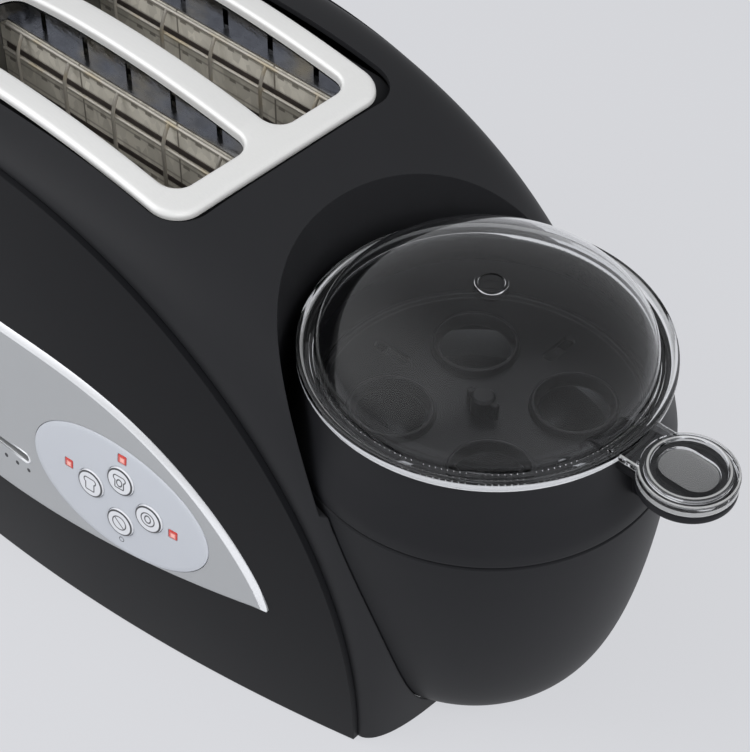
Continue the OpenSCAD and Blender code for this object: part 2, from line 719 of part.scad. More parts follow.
// Places of the three lamps from the pad's middle
lamp_at = [[-24.2, 3.5], [2.4, 20.8], [27, -2.5]];
lamp_w = 4;
slider_x = cooker_x - 143 - slider_l / 2;
slider_z = 64.5;
board_y = 80;
board_th = 1.6;
// The board's outline, with the corner near the cooker cut off to follow the side
board_points = [[cooker_x - 228, 46], [cooker_x - 42, 46], [cooker_x - 42, 78], [cooker_x - 65, 108],
    [cooker_x - 228, 108]];
board_posts = [[cooker_x - 226 + 4, 98], [cooker_x - 226 + 4, 54], [cooker_x - 47, 67]];
switch_h = 4;
board_screw_l = 6.5;

module pad_outline(grow) translate([pad_x, pad_z]) rotate(-6)
    polygon([for (a = [0:10:350]) [(pad_half[0] + grow) * cos(a), (pad_half[1] + grow) * sin(a)]]);

module control_trim() color("#b3b6b9") {
    difference() {
        intersection() {
            side_patch([trim_x - trim_left - 2, trim_low_z - 2], [trim_x + trim_half + 2, trim_top_z + 2],
                panel_proud, 32, 10);
            side_prism() trim_outline(0);
        }
        side_prism() pad_outline(button_gap);
        translate([slider_x, 0, slider_z]) side_prism() rounded(slider_l, slider_h, slider_h / 2 - eps);
    }
    for (p = board_posts) {
        y = side_y(p[0], p[1]) + panel_proud - wall;
        translate([p[0], -board_y - board_th - seat, p[1]]) rotate([90, 0, 0])
            tube(3, 1.1, y + 0.9 - board_y - board_th - seat);
    }
}

module button_pad() color("#c6c9d2") difference() {
    intersection() {
        side_patch([pad_x - pad_half[0] - 2, pad_z - pad_half[1] - 4],
            [pad_x + pad_half[0] + 2, pad_z + pad_half[1] + 4], pad_proud, 14, 8);
        side_prism() pad_outline(0);
    }
    for (b = button_at) translate([pad_x + b[0], 0, pad_z + b[1]]) side_prism() circle(d = button_d + 2 * button_gap);
    for (l = lamp_at) translate([pad_x + l[0], 0, pad_z + l[1]]) side_prism()
        square(lamp_w + 2 * button_gap, center = true);
}

// Small patch of the side round a point in X and Z
module face_patch(x, z, half, proud) side_patch([x - half, z - half], [x + half, z + half], proud, 4, 4);

module push_button(i) {
    x = pad_x + button_at[i][0];
    z = pad_z + button_at[i][1];
    y = side_y(x, z) + button_proud;
    intersection() {
        face_patch(x, z, button_d, button_proud);
        translate([x, 0, z]) side_prism() circle(d = button_d);
    }
    translate([x, 0.9 - y + wall, z]) rotate([90, 0, 0]) cylinder(r = 5, h = 1.8);
    tip = board_y + board_th + switch_h + button_travel + 0.1;
    translate([x, -tip, z]) rotate([90, 0, 0]) cylinder(r = 2, h = y - wall - tip);
}

module toast_button() color("#dfe1e4") push_button(0);
module toast_egg_button() color("#dfe1e4") push_button(1);
module egg_button() color("#dfe1e4") push_button(2);
module stop_button() color("#dfe1e4") push_button(3);

module indicator_lamps() color("#c2402f") for (l = lamp_at)
    face_patch(pad_x + l[0], pad_z + l[1], lamp_w / 2, pad_proud + 0.2);

knob_size = [9, 12];
knob_y = side_y(slider_x, slider_z - knob_size[1] / 2) + panel_proud + 0.3;

module browning_knob() color("#9fa3a7") {
    translate([slider_x, -knob_y, slider_z]) rotate([90, 0, 0]) linear_extrude(height = 3)
        rounded(knob_size[0], knob_size[1], 3);
    translate([slider_x, -board_y - board_th - 7, slider_z]) rotate([90, 0, 0])
        linear_extrude(height = knob_y - board_y - board_th - 6) square([5, slider_h - 0.6], center = true);
}

module browning_slider() color("#4a4c50") difference() {
    block([slider_x - slider_l / 2 - 3, -board_y - board_th - seat - 7, slider_z - 5],
        [slider_x + slider_l / 2 + 3, -board_y - board_th - seat, slider_z + 5]);
    block([slider_x - slider_l / 2, -board_y - board_th - 10, slider_z - slider_h / 2],
        [slider_x + slider_l / 2, -board_y - board_th - 2, slider_z + slider_h / 2]);
}

module control_board() color("#3f6b45") {
    difference() {
        translate([0, -board_y, 0]) side_prism(board_th) polygon(board_points);
        for (p = board_posts) translate([p[0], 0, p[1]]) side_prism() circle(r = 1.3);
    }
    for (b = button_at) {
        x = pad_x + b[0];
        z = pad_z + b[1];
        block([x - 3, -board_y - board_th - switch_h + 0.6, z - 3], [x + 3, -board_y - board_th + eps, z + 3]);
        translate([x, -board_y - board_th - switch_h + 0.7, z]) rotate([90, 0, 0]) cylinder(r = 1.7, h = 0.7);
    }
}

module board_screws() color("#8d8f92") for (p = board_posts)
    translate([p[0], 0.1 - board_y + 1.2, p[1]]) rotate([90, 0, 0]) {
        cylinder(r = 1, h = board_screw_l);
        cylinder(r = 2.2, h = 1.2);
    }

// ---- Egg cooker ----
housing_h = seam_z - seat - base_z - 0.4;
profile_steps = 20;
ledge_in = 61;
ledge_z = seam_z - 9;
dish_r = 67.3;
dish_floor_r = 52;
dish_depth = 9;
dish_t = 0.8;
heater_h = 6;
thermostat_h = 8;

// Bellied profile of the housing, from its rim down to its flat bottom
function belly(rim, bottom, top_z, h) = [for (i = [0:profile_steps]) let (t = 90 * i / profile_steps)
    [bottom + (rim - bottom) * pow(cos(t), 2 / 3.38), top_z - h * pow(sin(t), 2 / 1.8)]];

module housing_solid(grow) rotate_extrude() polygon(concat(
    [[0, seam_z - seat + grow]],
    belly(seam_r + grow, bottom_r + grow, seam_z - seat + grow, housing_h + 2 * grow),
    [[0, base_z + 0.4 - grow]]));

module cooker_housing() color("#2b2c2e") translate([cooker_x, 0, 0]) {
    difference() {
        union() {
            housing_solid(0);
            intersection() {
                translate([0, 0, flange_z]) cylinder(r = flange_r, h = flange_t);
                block([-flange_r - 1, -flange_r, 0], [-15, flange_r, 20]);
            }
        }
        difference() {
            rotate_extrude() polygon(concat(
                [[0, seam_z + 1], [seam_r - wall, seam_z + 1]],
                belly(seam_r - wall, bottom_r, seam_z - seat, housing_h - wall),
                [[0, base_z + 0.4 + wall]]));
            translate([0, 0, ledge_z - 2]) tube(seam_r, ledge_in, 2);
        }
        for (a = flange_screws) rotate(a) translate([flange_r - 4.5, 0, 0]) cylinder(r = screw_r + 0.05, h = 20);
    }
}

// Shallow steel dish that boils the water
module heating_dish() color("#c9cbcc") translate([cooker_x, 0, ledge_z + seat]) rotate_extrude() polygon([
    [0, -dish_depth], [dish_floor_r, -dish_depth], [dish_floor_r + 5, 0], [dish_r, 0], [dish_r, dish_t],
    [dish_floor_r + 4.5, dish_t], [dish_floor_r - 0.4, -dish_depth + dish_t], [0, -dish_depth + dish_t]]);

// Cast plate with the heating element cast into its underside
module dish_heater() color("#8f9193") translate([cooker_x, 0, ledge_z - dish_depth - heater_h]) {
    cylinder(r = dish_floor_r - 2, h = heater_h);
    rotate_extrude(angle = 300) translate([36, 0]) circle(r = 3.2, $fn = 32);
    for (end = [[0, 90], [300, -90]]) rotate(end[0]) translate([36, 0, -1]) rotate([end[1], 0, 0])
        cylinder(r = 2, h = 9, $fn = 24);
}

module cooker_thermostat() color("#d8d5cb") {
    translate([cooker_x, 0, ledge_z - dish_depth - heater_h - seat - thermostat_h]) {
        cylinder(r = 11, h = thermostat_h);
        for (side = [-1, 1]) block([side * 7 - 2.5, -0.4, -8], [side * 7 + 2.5, 0.4, eps]);
    }
}

rim_z = seam_z + bowl_h;
bowl_floor_t = 3;
bowl_hole_r = 56;
skirt_r = [seam_r - wall - 3.3, seam_r - wall - 0.6];
tray_rim_r = rim_r - bowl_wall - 1.2;
tab_x = tab_reach - tab_r;
tab_neck = 22;
bowl_tab_t = 4.5;
bowl_tab_z = rim_z - 8.5;

module tab_outline(r) {
    translate([tab_x, 0]) circle(r);
    translate([rim_r - 6, -tab_neck / 2 - r + tab_r]) square([tab_x - rim_r + 6, tab_neck - 2 * (tab_r - r)]);
}

module cooking_bowl() color("#303134") translate([cooker_x, 0, 0]) {
    difference() {
        union() {
            rotate_extrude() polygon([
                [0, seam_z], [seam_r, seam_z], [seam_r - 0.25, seam_z + 6], [rim_r + 1.6, rim_z - 14],
                [rim_r + 0.3, rim_z - 4], [rim_r, rim_z - 1], [rim_r - 0.8, rim_z], [0, rim_z]]);
            translate([0, 0, bowl_tab_z]) linear_extrude(height = bowl_tab_t) tab_outline(tab_r - 1);
            translate([0, 0, bowl_tab_z - 12]) linear_extrude(height = 12.5)
                translate([rim_r - 2, -2]) square([12, 4]);
            translate([0, 0, seam_z - 5]) cylinder(r = skirt_r[1], h = 6);
        }
        rotate_extrude() polygon([
            [0, seam_z + bowl_floor_t], [seam_r - bowl_wall - 1.5, seam_z + bowl_floor_t],
            [rim_r - bowl_wall + 1, rim_z - 14], [rim_r - bowl_wall, rim_z - 4],
            [rim_r - bowl_wall, rim_z + 1], [0, rim_z + 1]]);
        translate([0, 0, seam_z - 10]) cylinder(r = bowl_hole_r, h = 20);
        translate([0, 0, seam_z - 10]) cylinder(r = skirt_r[0], h = 10);
    }
}

tray_t = 2;
tray_seat_z = seam_z + bowl_floor_t + seat;
cup_h = 3;
handle_h = 8;

module egg_tray() color("#2a2b2d") translate([cooker_x, 0, tray_seat_z]) difference() {
    union() {
        cylinder(r = tray_rim_r, h = tray_t);
        tube(tray_rim_r, tray_rim_r - 2, tray_t + 2);
        for (i = [0:wells - 1]) rotate(45 + 360 * i / wells) translate([well_off, 0, tray_t - eps])
            cylinder(r1 = well_r + 2.6, r2 = well_r + 1.6, h = cup_h);
        cylinder(r = 4.5, h = tray_t + handle_h);
        translate([-7, -1.5, 0]) cube([14, 3, tray_t + handle_h - 1]);
    }
    for (i = [0:wells - 1]) rotate(45 + 360 * i / wells) translate([well_off, 0, -1])
        cylinder(r = well_r, h = 20);
    for (i = [0:wells - 1]) rotate(360 * i / wells) translate([44, 0, -1]) linear_extrude(height = 20)
        rounded(16, 5, 2.4);
}

lid_z = rim_z + seat;
flange_h = 2.2;
ring_r = [rim_r - bowl_wall - 2.2, rim_r - bowl_wall - 0.5];
ring_h = 0.8;
dome_r = ring_r[0];
dome_steps = 16;

function dome(r, h, z) = [for (i = [0:dome_steps]) let (t = 90 * i / dome_steps)
    [r * pow(cos(t), 2 / 2.4), z + h * sin(t)]];

module clear_lid() color("#e6eef2", 0.4) translate([cooker_x, 0, lid_z]) {
    difference() {
        union() {
            rotate_extrude() polygon(concat([[0, 0], [lid_r - 0.6, 0], [lid_r, 0.6], [lid_r, flange_h + 1.6],
                [lid_r - 0.8, flange_h + 2], [lid_r - 2, flange_h + 1.8], [lid_r - 3, flange_h]],
                dome(dome_r, dome_h, flange_h)));
            translate([0, 0, -ring_h]) tube(ring_r[1], ring_r[0], ring_h + 0.1);
            translate([0, 0, 0.2]) linear_extrude(height = 3) tab_outline(tab_r);
        }
        rotate_extrude() polygon(concat([[0, -5], [ring_r[0], -5]],
            dome(dome_r - lid_wall * 0.6, dome_h - lid_wall, flange_h),
            [[0, flange_h + dome_h - lid_wall]]));
        translate([tab_x, 0, 2.5]) {
            tube(tab_r - 2, tab_r - 3.4, 2);
            linear_extrude(height = 2) rounded(19, 15, 6.5);
        }
    }
    translate([0, 0, flange_h + dome_h - 0.3]) tube(6, 4.5, 0.9);
}

body_cover();
front_panel();
rear_panel();
base_pan();
top_plate();
slot_throats();
lever_end_plate();
cooker_end_plate();
reflectors();
heater_boards();
heater_ribbons();
front_outer_guide();
front_inner_guide();
rear_inner_guide();
rear_outer_guide();
bread_racks();
carriage();
lever_knob();
guide_rods();
lift_springs();
latch_magnet();
latch_board();
crumb_tray();
rubber_feet();
case_screws();
cord_inlet();
control_trim();
button_pad();
toast_button();
toast_egg_button();
egg_button();
stop_button();
indicator_lamps();
browning_knob();
browning_slider();
control_board();
board_screws();
cooker_housing();
heating_dish();
dish_heater();
cooker_thermostat();
cooking_bowl();
egg_tray();
clear_lid();
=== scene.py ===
"""Toaster with a built-in egg cooker: its covers, controls, bowl and lid, their finishes, and a plain studio.

Every length in the shape functions is in millimetres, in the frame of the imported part:
+Z is up, +X points to the egg cooker and -Y to the side with the controls.
"""

import math

import bmesh
import bpy
from bpy.props import FloatProperty, FloatVectorProperty, IntProperty, PointerProperty
from mathutils import Matrix, Vector


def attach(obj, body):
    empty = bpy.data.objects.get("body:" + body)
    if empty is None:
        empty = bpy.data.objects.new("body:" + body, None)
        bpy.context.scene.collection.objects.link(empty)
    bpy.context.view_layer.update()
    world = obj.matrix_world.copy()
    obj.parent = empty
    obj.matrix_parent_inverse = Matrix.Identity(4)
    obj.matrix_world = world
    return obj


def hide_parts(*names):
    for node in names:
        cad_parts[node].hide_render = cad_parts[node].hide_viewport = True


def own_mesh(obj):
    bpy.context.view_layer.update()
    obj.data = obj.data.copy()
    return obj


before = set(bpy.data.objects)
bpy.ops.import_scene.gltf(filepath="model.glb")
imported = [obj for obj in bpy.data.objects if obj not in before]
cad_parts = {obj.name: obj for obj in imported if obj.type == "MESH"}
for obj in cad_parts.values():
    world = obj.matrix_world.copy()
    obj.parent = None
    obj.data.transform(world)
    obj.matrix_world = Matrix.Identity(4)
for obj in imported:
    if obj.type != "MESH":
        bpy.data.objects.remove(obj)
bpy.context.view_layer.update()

bl_info = {
    "name": "Toaster with Egg Cooker",
    "version": (1, 0, 0),
    "blender": (4, 5, 0),
    "location": "View3D > Sidebar > Egg Cooker",
    "description": "Builds the covers, controls, wires, bowl and lid of a toaster with a built-in egg cooker",
    "category": "Add Mesh",
}

MM = 0.001

# Places along the machine
COOKER_X, ARCH_X, SLOT_X, END_X = 105, -85, -71.5, -197
# Arched cover and side panels
BODY_RIGHT, BODY_LEFT, BODY_H, BASE_Z = 211, 112, 190, 1.2
SHOULDER_RISE, END_CROWN, WALL = 10, 12, 2.6
BAND_FRONT, BAND_REAR, SIDE_REACH, COVER_HALF = 77.5, 87, 105, (74.85, 84.35)
CROWN_N, CREASE_N, SHOULDER_N = (2.72, 4.5), (2.2, 3.6), 4.5
# Steel plate and bread slots
SLOT_L, SLOT_W, SLOT_Y = 135.8, 38.7, 25.65
PLATE_L, PLATE_W, PLATE_CORNER, SLOT_CORNER = 157, 111.2, 12, 8
PLATE_APEX, PLATE_TOP, PLATE_SHEET = -97, 192.4, 0.9
# Wire guides
GUIDE_OFF, FLARE_OFF, WIRE_R, WIRE_PITCH = 9.75, 13.62, 0.8, 28.5
GUIDE_LOW, GUIDE_BEND, GUIDE_TIP = 40, 165.6, 176.3
RAIL_LEFT, RAIL_RIGHT, RAIL_HEIGHTS = -147.5, 4.5, (74, 134)
# Controls
TRIM_X, TRIM_RIGHT, TRIM_LEFT = -55, 132.6, 112
TRIM_TIP, TRIM_TOP, TRIM_LOW = 55.2, 121, 42.7
PANEL_PROUD, PAD_PROUD, BUTTON_PROUD = 1, 1.4, 2.2
PAD_X, PAD_Z, PAD_A, PAD_B, PAD_TURN = 9, 74, 43, 26, math.radians(-6)
BUTTON_R = 6.3
BUTTONS = {
    "toast_button": (-3.6, 74.3),
    "toast_egg_button": (11.1, 84.1),
    "egg_button": (24.9, 73.3),
    "stop_button": (11, 62.9),
}
LAMPS = ((-15.2, 77.5), (11.4, 94.8), (36, 71.5))
SLIDER_X, SLIDER_Z, SLIDER_L, SLIDER_H = -78, 64.5, 80, 3.5
DOT_X, DOT_Z, DOT_R, DOT_PITCH, DOTS = -38.5, 58.4, 0.95, 6.5, 11
MARK_AT, MARK_R = (11.2, 53.6), 1.1
BUTTON_STEM_END, KNOB_STEM_END = 86.8, 88.7
# Lever, springs and crumb drawer
LEVER_Z, ROD_X, ROD_Y = 138, -163.5, 14
SPRING_FOOT, SPRING_H = 12.9, 98.2
DRAWER_LEFT, DRAWER_RIGHT, DRAWER_LOW, DRAWER_TOP, PAN_FRONT = -145.1, 3.1, 6.3, 18.7, -52
# Egg cooker
AXIS = (COOKER_X, 0)
SEAM_R, BOTTOM_R, HOUSING_TOP, HOUSING_H = 70.5, 35, 112.7, 109.3
RECESS_R, RECESS_Z, RIM_R, TRAY_Z = 73, 109, 65.5, 116.3
LID_Z, DOME_R, DOME_H = 147.8, 60.8, 29
TAB_AT, TAB_R, TAB_NECK = (COOKER_X + 86.6, 0), 17.2, 22
WELL_OFF, WELL_R = 33.2, 14


# ---- Shapes of the body, as functions ----
def quarter(a, h, n, u):
    """A point of one quarter of an arch, from its foot (u = 0) to its top (u = 1)."""
    foot = math.asin((BASE_Z / h) ** (n / 2))
    t = foot + (math.pi / 2 - foot) * u
    return a * max(0, math.cos(t)) ** (2 / n), h * math.sin(t) ** (2 / n)


def arch(s, right, left, h, n):
    """A point of a whole arch: s = 0 at the cooker's foot, 1 at the top, 2 at the lever's foot."""
    x, z = quarter(right, h, n[0], s) if s <= 1 else quarter(left, h, n[1], 2 - s)
    return (ARCH_X + x if s <= 1 else ARCH_X - x), z


def crown(s, depth=0):
    return arch(s, BODY_RIGHT - depth, BODY_LEFT - depth, BODY_H - depth, CROWN_N)


def crease(s, depth=0):
    return arch(s, BODY_RIGHT - END_CROWN - depth, BODY_LEFT - END_CROWN - depth,
        BODY_H - SHOULDER_RISE - depth, CREASE_N)


def saddle(s, v, depth=0):
    """A point of the arched cover; v runs from one crease (-1) over the crown to the other (1)."""
    c, o = crease(s, depth), crown(s, depth)
    g = math.sqrt(max(0, 1 - abs(v) ** SHOULDER_N))
    return c[0] + (o[0] - c[0]) * g, v * COVER_HALF[v > 0], c[1] + (o[1] - c[1]) * g


def side_y(x, z, band=BAND_FRONT):
    """Distance of a side panel's outer face from the middle plane."""
    left = x < ARCH_X
    n = CREASE_N[1] if left else CREASE_N[0]
    a = (BODY_LEFT if left else BODY_RIGHT) - END_CROWN
    rho = ((abs(x - ARCH_X) / a) ** n + (max(0, z) / (BODY_H - SHOULDER_RISE)) ** n) ** (1 / n)
    return band + (SIDE_REACH - band) * (1 - rho * rho)


def on_side(proud):
    """Places a point (x, z, height) on the control side, proud of the panel."""
    return lambda x, z, h: (x, -(side_y(x, z) + proud + h), z)


def plate_z(x):
    return PLATE_TOP - (0.00094 if x > PLATE_APEX else 0.0016) * (x - PLATE_APEX) ** 2


def at_plate(x, y, h):
    """Places a point by its height above the steel plate's top face."""
    return x, y, plate_z(x) + h


def trim_x(u):
    return TRIM_X + (TRIM_RIGHT if u > 0 else TRIM_LEFT) * u


def trim_upper(u):
    return TRIM_TIP + (TRIM_TOP - TRIM_TIP) * max(0, 1 - abs(u) ** 2.8) ** 0.78


def trim_lower(u):
    return TRIM_LOW + (TRIM_TIP - TRIM_LOW) * abs(u) ** 1.8


# ---- Outlines ----
def polar(r, angle, at=(0, 0)):
    return at[0] + r * math.cos(angle), at[1] + r * math.sin(angle)


def circle(r, steps=96, at=(0, 0)):
    return [polar(r, 2 * math.pi * i / steps, at) for i in range(steps)]


def quarter_turn(steps):
    """Angles from 0 to a right angle."""
    return [math.pi / 2 * k / steps for k in range(steps + 1)]


def rounded(points, steps=8):
    """A closed outline of points (x, y, radius) with its corners rounded."""
    out = []
    for i, (x, y, r) in enumerate(points):
        p = Vector((x, y))
        a = Vector(points[i - 1][:2]) - p
        b = Vector(points[(i + 1) % len(points)][:2]) - p
        la, lb = a.length, b.length
        a, b = a / la, b / lb
        half = math.acos(max(-1, min(1, a.dot(b)))) / 2
        if r < 1e-6 or half > math.pi / 2 - 1e-3:
            out.append((x, y))
            continue
        t = min(r / math.tan(half), 0.49 * la, 0.49 * lb)
        r = t * math.tan(half)
        mid = p + (a + b).normalized() * (r / math.sin(half))
        start, end = p + a * t - mid, p + b * t - mid
        sweep = start.angle_signed(end)
        for k in range(steps + 1):
            q = mid + Matrix.Rotation(-sweep * k / steps, 2) @ start
            out.append((q.x, q.y))
    return out


def rectangle(w, d, r, at=(0, 0), steps=8):
    x, y = w / 2, d / 2
    corners = [(x, -y), (x, y), (-x, y), (-x, -y)]
    return rounded([(at[0] + p[0], at[1] + p[1], r) for p in corners], steps)


def rotated(points, angle, at):
    c, s = math.cos(angle), math.sin(angle)
    return [(at[0] + x * c - y * s, at[1] + x * s + y * c) for x, y in points]


def ellipse(a, b, angle, at, steps=160):
    return rotated([(a * x, b * y) for x, y in circle(1, steps)], angle, at)


def inset(outline, distance):
    """The outline moved in by distance; it runs anticlockwise."""
    if abs(distance) < 1e-9:
        return outline
    out = []
    n = len(outline)
    for i, p in enumerate(outline):
        a, b = outline[i - 1], outline[(i + 1) % n]
        d1 = Vector((p[0] - a[0], p[1] - a[1]))
        d2 = Vector((b[0] - p[0], b[1] - p[1]))
        d1 = d1.normalized() if d1.length > 1e-9 else d2.normalized()
        d2 = d2.normalized() if d2.length > 1e-9 else d1
        m = (d1 + d2).normalized()
        grow = distance / max(0.5, m.dot(d1))
        out.append((p[0] - m.y * grow, p[1] + m.x * grow))
    return out


def smooth_path(points, steps=6):
    """A curve through the points, with steps pieces between two of them."""
    out = []
    n = len(points)
    for i in range(n - 1):
        p0, p1, p2, p3 = points[max(0, i - 1)], points[i], points[i + 1], points[min(n - 1, i + 2)]
        for k in range(steps):
            t = k / steps
            out.append(tuple(0.5 * (2 * b + (c - a) * t + (2 * a - 5 * b + 4 * c - d) * t * t
                + (3 * b - a - 3 * c + d) * t ** 3) for a, b, c, d in zip(p0, p1, p2, p3)))
    out.append(tuple(points[-1]))
    return out


# ---- Meshes ----
def strips(rows, cols, close_rows=False, close_cols=False):
    """Faces of a grid of points, row by row."""
    faces = []
    for i in range(rows if close_rows else rows - 1):
        for j in range(cols if close_cols else cols - 1):
            k, l = (i + 1) % rows, (j + 1) % cols
            faces.append((i * cols + j, i * cols + l, k * cols + l, k * cols + j))
    return faces


def turned(profile, steps=180, at=AXIS):
    """Points and faces of a closed profile (radius, height) turned round a vertical axis."""
    points, rings = [], []
    for r, z in profile:
        count = 1 if r < 1e-6 else steps
        rings.append([len(points) + i for i in range(count)])
        points += [(*polar(r, 2 * math.pi * i / steps, at), z) for i in range(count)]
    faces = []
    for k, a in enumerate(rings):
        b = rings[(k + 1) % len(rings)]
        if len(a) == 1 and len(b) == 1:
            continue
        for i in range(steps):
            j = (i + 1) % steps
            if len(a) == 1:
                faces.append((a[0], b[j], b[i]))
            elif len(b) == 1:
                faces.append((a[i], a[j], b[0]))
            else:
                faces.append((a[i], a[j], b[j], b[i]))
    return points, faces


def pressed(outline, profile, place, centre=None, rings=10, ring=False):
    """Points and faces of a solid whose outline moves in by inset at each height of the profile.

    place puts a point (x, y, height). With a centre, the two ends are closed by rings that shrink to it, so
    that they can follow a curved face. With ring, the profile is closed on itself and there are no ends.
    """
    loops = [[(p[0], p[1], h) for p in inset(outline, d)] for d, h in profile]
    n = len(outline)
    if centre:
        def shrink(loop):
            return [[(centre[0] + (p[0] - centre[0]) * k / rings,
                centre[1] + (p[1] - centre[1]) * k / rings, p[2]) for p in loop]
                for k in range(rings - 1, 0, -1)]

        loops = list(reversed(shrink(loops[0]))) + loops + shrink(loops[-1])
    points = [place(*p) for loop in loops for p in loop]
    faces = strips(len(loops), n, close_rows=ring, close_cols=True)
    if centre:
        for h, row in ((profile[0][1], 0), (profile[-1][1], len(loops) - 1)):
            points.append(place(centre[0], centre[1], h))
            faces += [(len(points) - 1, row * n + i, row * n + (i + 1) % n) for i in range(n)]
    elif not ring:
        faces += [tuple(range(n)), tuple((len(loops) - 1) * n + i for i in range(n))]
    return points, faces


def upright(x, y, z):
    return x, y, z


def along_y(x, z, h):
    return x, h, z


def prism(outline, low, high, place=upright):
    return pressed(outline, [(0, low), (0, high)], place)


def hole_at(outline, far=-120):
    """A tool that cuts through the control side."""
    return prism(outline, far, -50, along_y)


def raised(z, *profile):
    """The profile, moved up by z."""
    return [(r, z + h) for r, h in profile]


def edge(height, r, low=0, steps=4):
    """Profile of a plate from low to height with both edges rounded by r."""
    arc = [(r - r * math.sin(t), r - r * math.cos(t)) for t in quarter_turn(steps)]
    return [(d, low + h) for d, h in arc] + [(d, height - h) for d, h in reversed(arc)]


def added(name, data):
    piece = bpy.data.objects.new(name, data)
    bpy.context.scene.collection.objects.link(piece)
    return piece


def from_bmesh(name, bm):
    mesh = bpy.data.meshes.new(name)
    bm.to_mesh(mesh)
    bm.free()
    return added(name, mesh)


def solid(name, *parts, merge=1e-3):
    """An object from (points, faces) parts, with its normals pointing outwards."""
    bm = bmesh.new()
    for points, faces in parts:
        verts = [bm.verts.new([c * MM for c in p]) for p in points]
        for f in faces:
            bm.faces.new([verts[i] for i in f])
    bmesh.ops.remove_doubles(bm, verts=bm.verts, dist=merge * MM)
    bmesh.ops.dissolve_degenerate(bm, edges=bm.edges, dist=merge * MM)
    bmesh.ops.recalc_face_normals(bm, faces=bm.faces)
    return from_bmesh(name, bm)


def settle(piece):
    """Turns the piece's modifiers into its mesh."""
    graph = bpy.context.evaluated_depsgraph_get()
    mesh = bpy.data.meshes.new_from_object(piece.evaluated_get(graph))
    old = piece.data
    piece.modifiers.clear()
    piece.data = mesh
    bpy.data.meshes.remove(old)
    mesh.name = piece.name
    return piece


def carve(piece, *tools, way="DIFFERENCE"):
    """Cuts the tools out of the piece, or joins them to it, and removes them."""
    for tool in tools:
        cut = piece.modifiers.new("cut", "BOOLEAN")
        cut.operation, cut.solver, cut.object = way, "MANIFOLD", tool
        settle(piece)
        bpy.data.objects.remove(tool)
    return piece


def finished(piece, body, *finishes, nodes=(), slot=None, sharp=32, choose=None):
    """Gives the piece its finishes and shading, and hands it to the frame."""
    mesh = piece.data
    mesh.materials.clear()
    for finish in finishes:
        mesh.materials.append(finish)
    if choose:
        for face in mesh.polygons:
            face.material_index = choose(face.center / MM, face.normal)
    mesh.shade_smooth()
    mesh.set_sharp_from_angle(angle=math.radians(sharp))
    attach(piece, body)
    if nodes:
        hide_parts(*nodes)
    return piece


def dress(finish, *nodes):
    """Gives CAD nodes a finish; their meshes stay as they are."""
    for node in nodes:
        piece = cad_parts[node]
        piece.data.materials.clear()
        piece.data.materials.append(finish)


# ---- Node trees ----
def link(tree, socket, value):
    """Sets a socket to a number or colour, or links it."""
    if isinstance(value, (Value, bpy.types.NodeSocket)):
        tree.links.new(getattr(value, "socket", value), socket)
    else:
        socket.default_value = (*value, 1) if socket.type == "RGBA" and len(value) == 3 else value


def add_node(tree, kind, settings=None, sockets=None):
    """A node with its settings, and then its sockets, by name or number."""
    node = tree.nodes.new(kind)
    for key, value in (settings or {}).items():
        setattr(node, key, value)
    for key, value in (sockets or {}).items():
        link(tree, node.inputs[key], value)
    return node


def maths(way, swap=False):
    """A method that adds a Math node for a value and the number after it, or before it with swap."""
    return lambda self, *other: self.math(way, *((*other, self) if swap else (self, *other)))


class Value:
    """A number in a node tree; an expression on it adds its Math nodes."""

    def __init__(self, tree, socket):
        self.tree, self.socket = tree, socket

    def math(self, way, *numbers):
        return Value(self.tree, add_node(self.tree, "ShaderNodeMath", {"operation": way},
            dict(enumerate(numbers))).outputs[0])

    __add__, __sub__, __mul__, __truediv__ = (maths(way)
        for way in ("ADD", "SUBTRACT", "MULTIPLY", "DIVIDE"))
    __radd__, __rsub__, __rmul__ = (maths(way, True) for way in ("ADD", "SUBTRACT", "MULTIPLY"))
    __pow__, __abs__, low, high, root = (maths(way)
        for way in ("POWER", "ABSOLUTE", "MINIMUM", "MAXIMUM", "SQRT"))

    def repeat(self, period):
        return self.math("PINGPONG", self, period / 2)

    def step(self, start, end):
        """0 before start, 1 after end, and a soft change between them."""
        return Value(self.tree, add_node(self.tree, "ShaderNodeMapRange",
            {"interpolation_type": "SMOOTHSTEP"},
            {"Value": self, "From Min": start, "From Max": end}).outputs["Result"])


def seen_plain(tree, output, light, plain, share, *rays):
    """Feeds the output with light, and with a share of plain for the kinds of rays that are named."""
    path = add_node(tree, "ShaderNodeLightPath")
    seen = Value(tree, path.outputs["Is Camera Ray"])
    for ray in rays:
        seen = seen.high(Value(tree, path.outputs["Is %s Ray" % ray]))
    both = add_node(tree, "ShaderNodeMixShader",
        sockets={0: seen * share, 1: light.outputs[0], 2: plain.outputs[0]})
    tree.links.new(both.outputs[0], tree.nodes[output].inputs["Surface"])


def shade(colour, share):
    """The colour, darker or paler by a factor."""
    return [min(1, c * share) for c in colour]


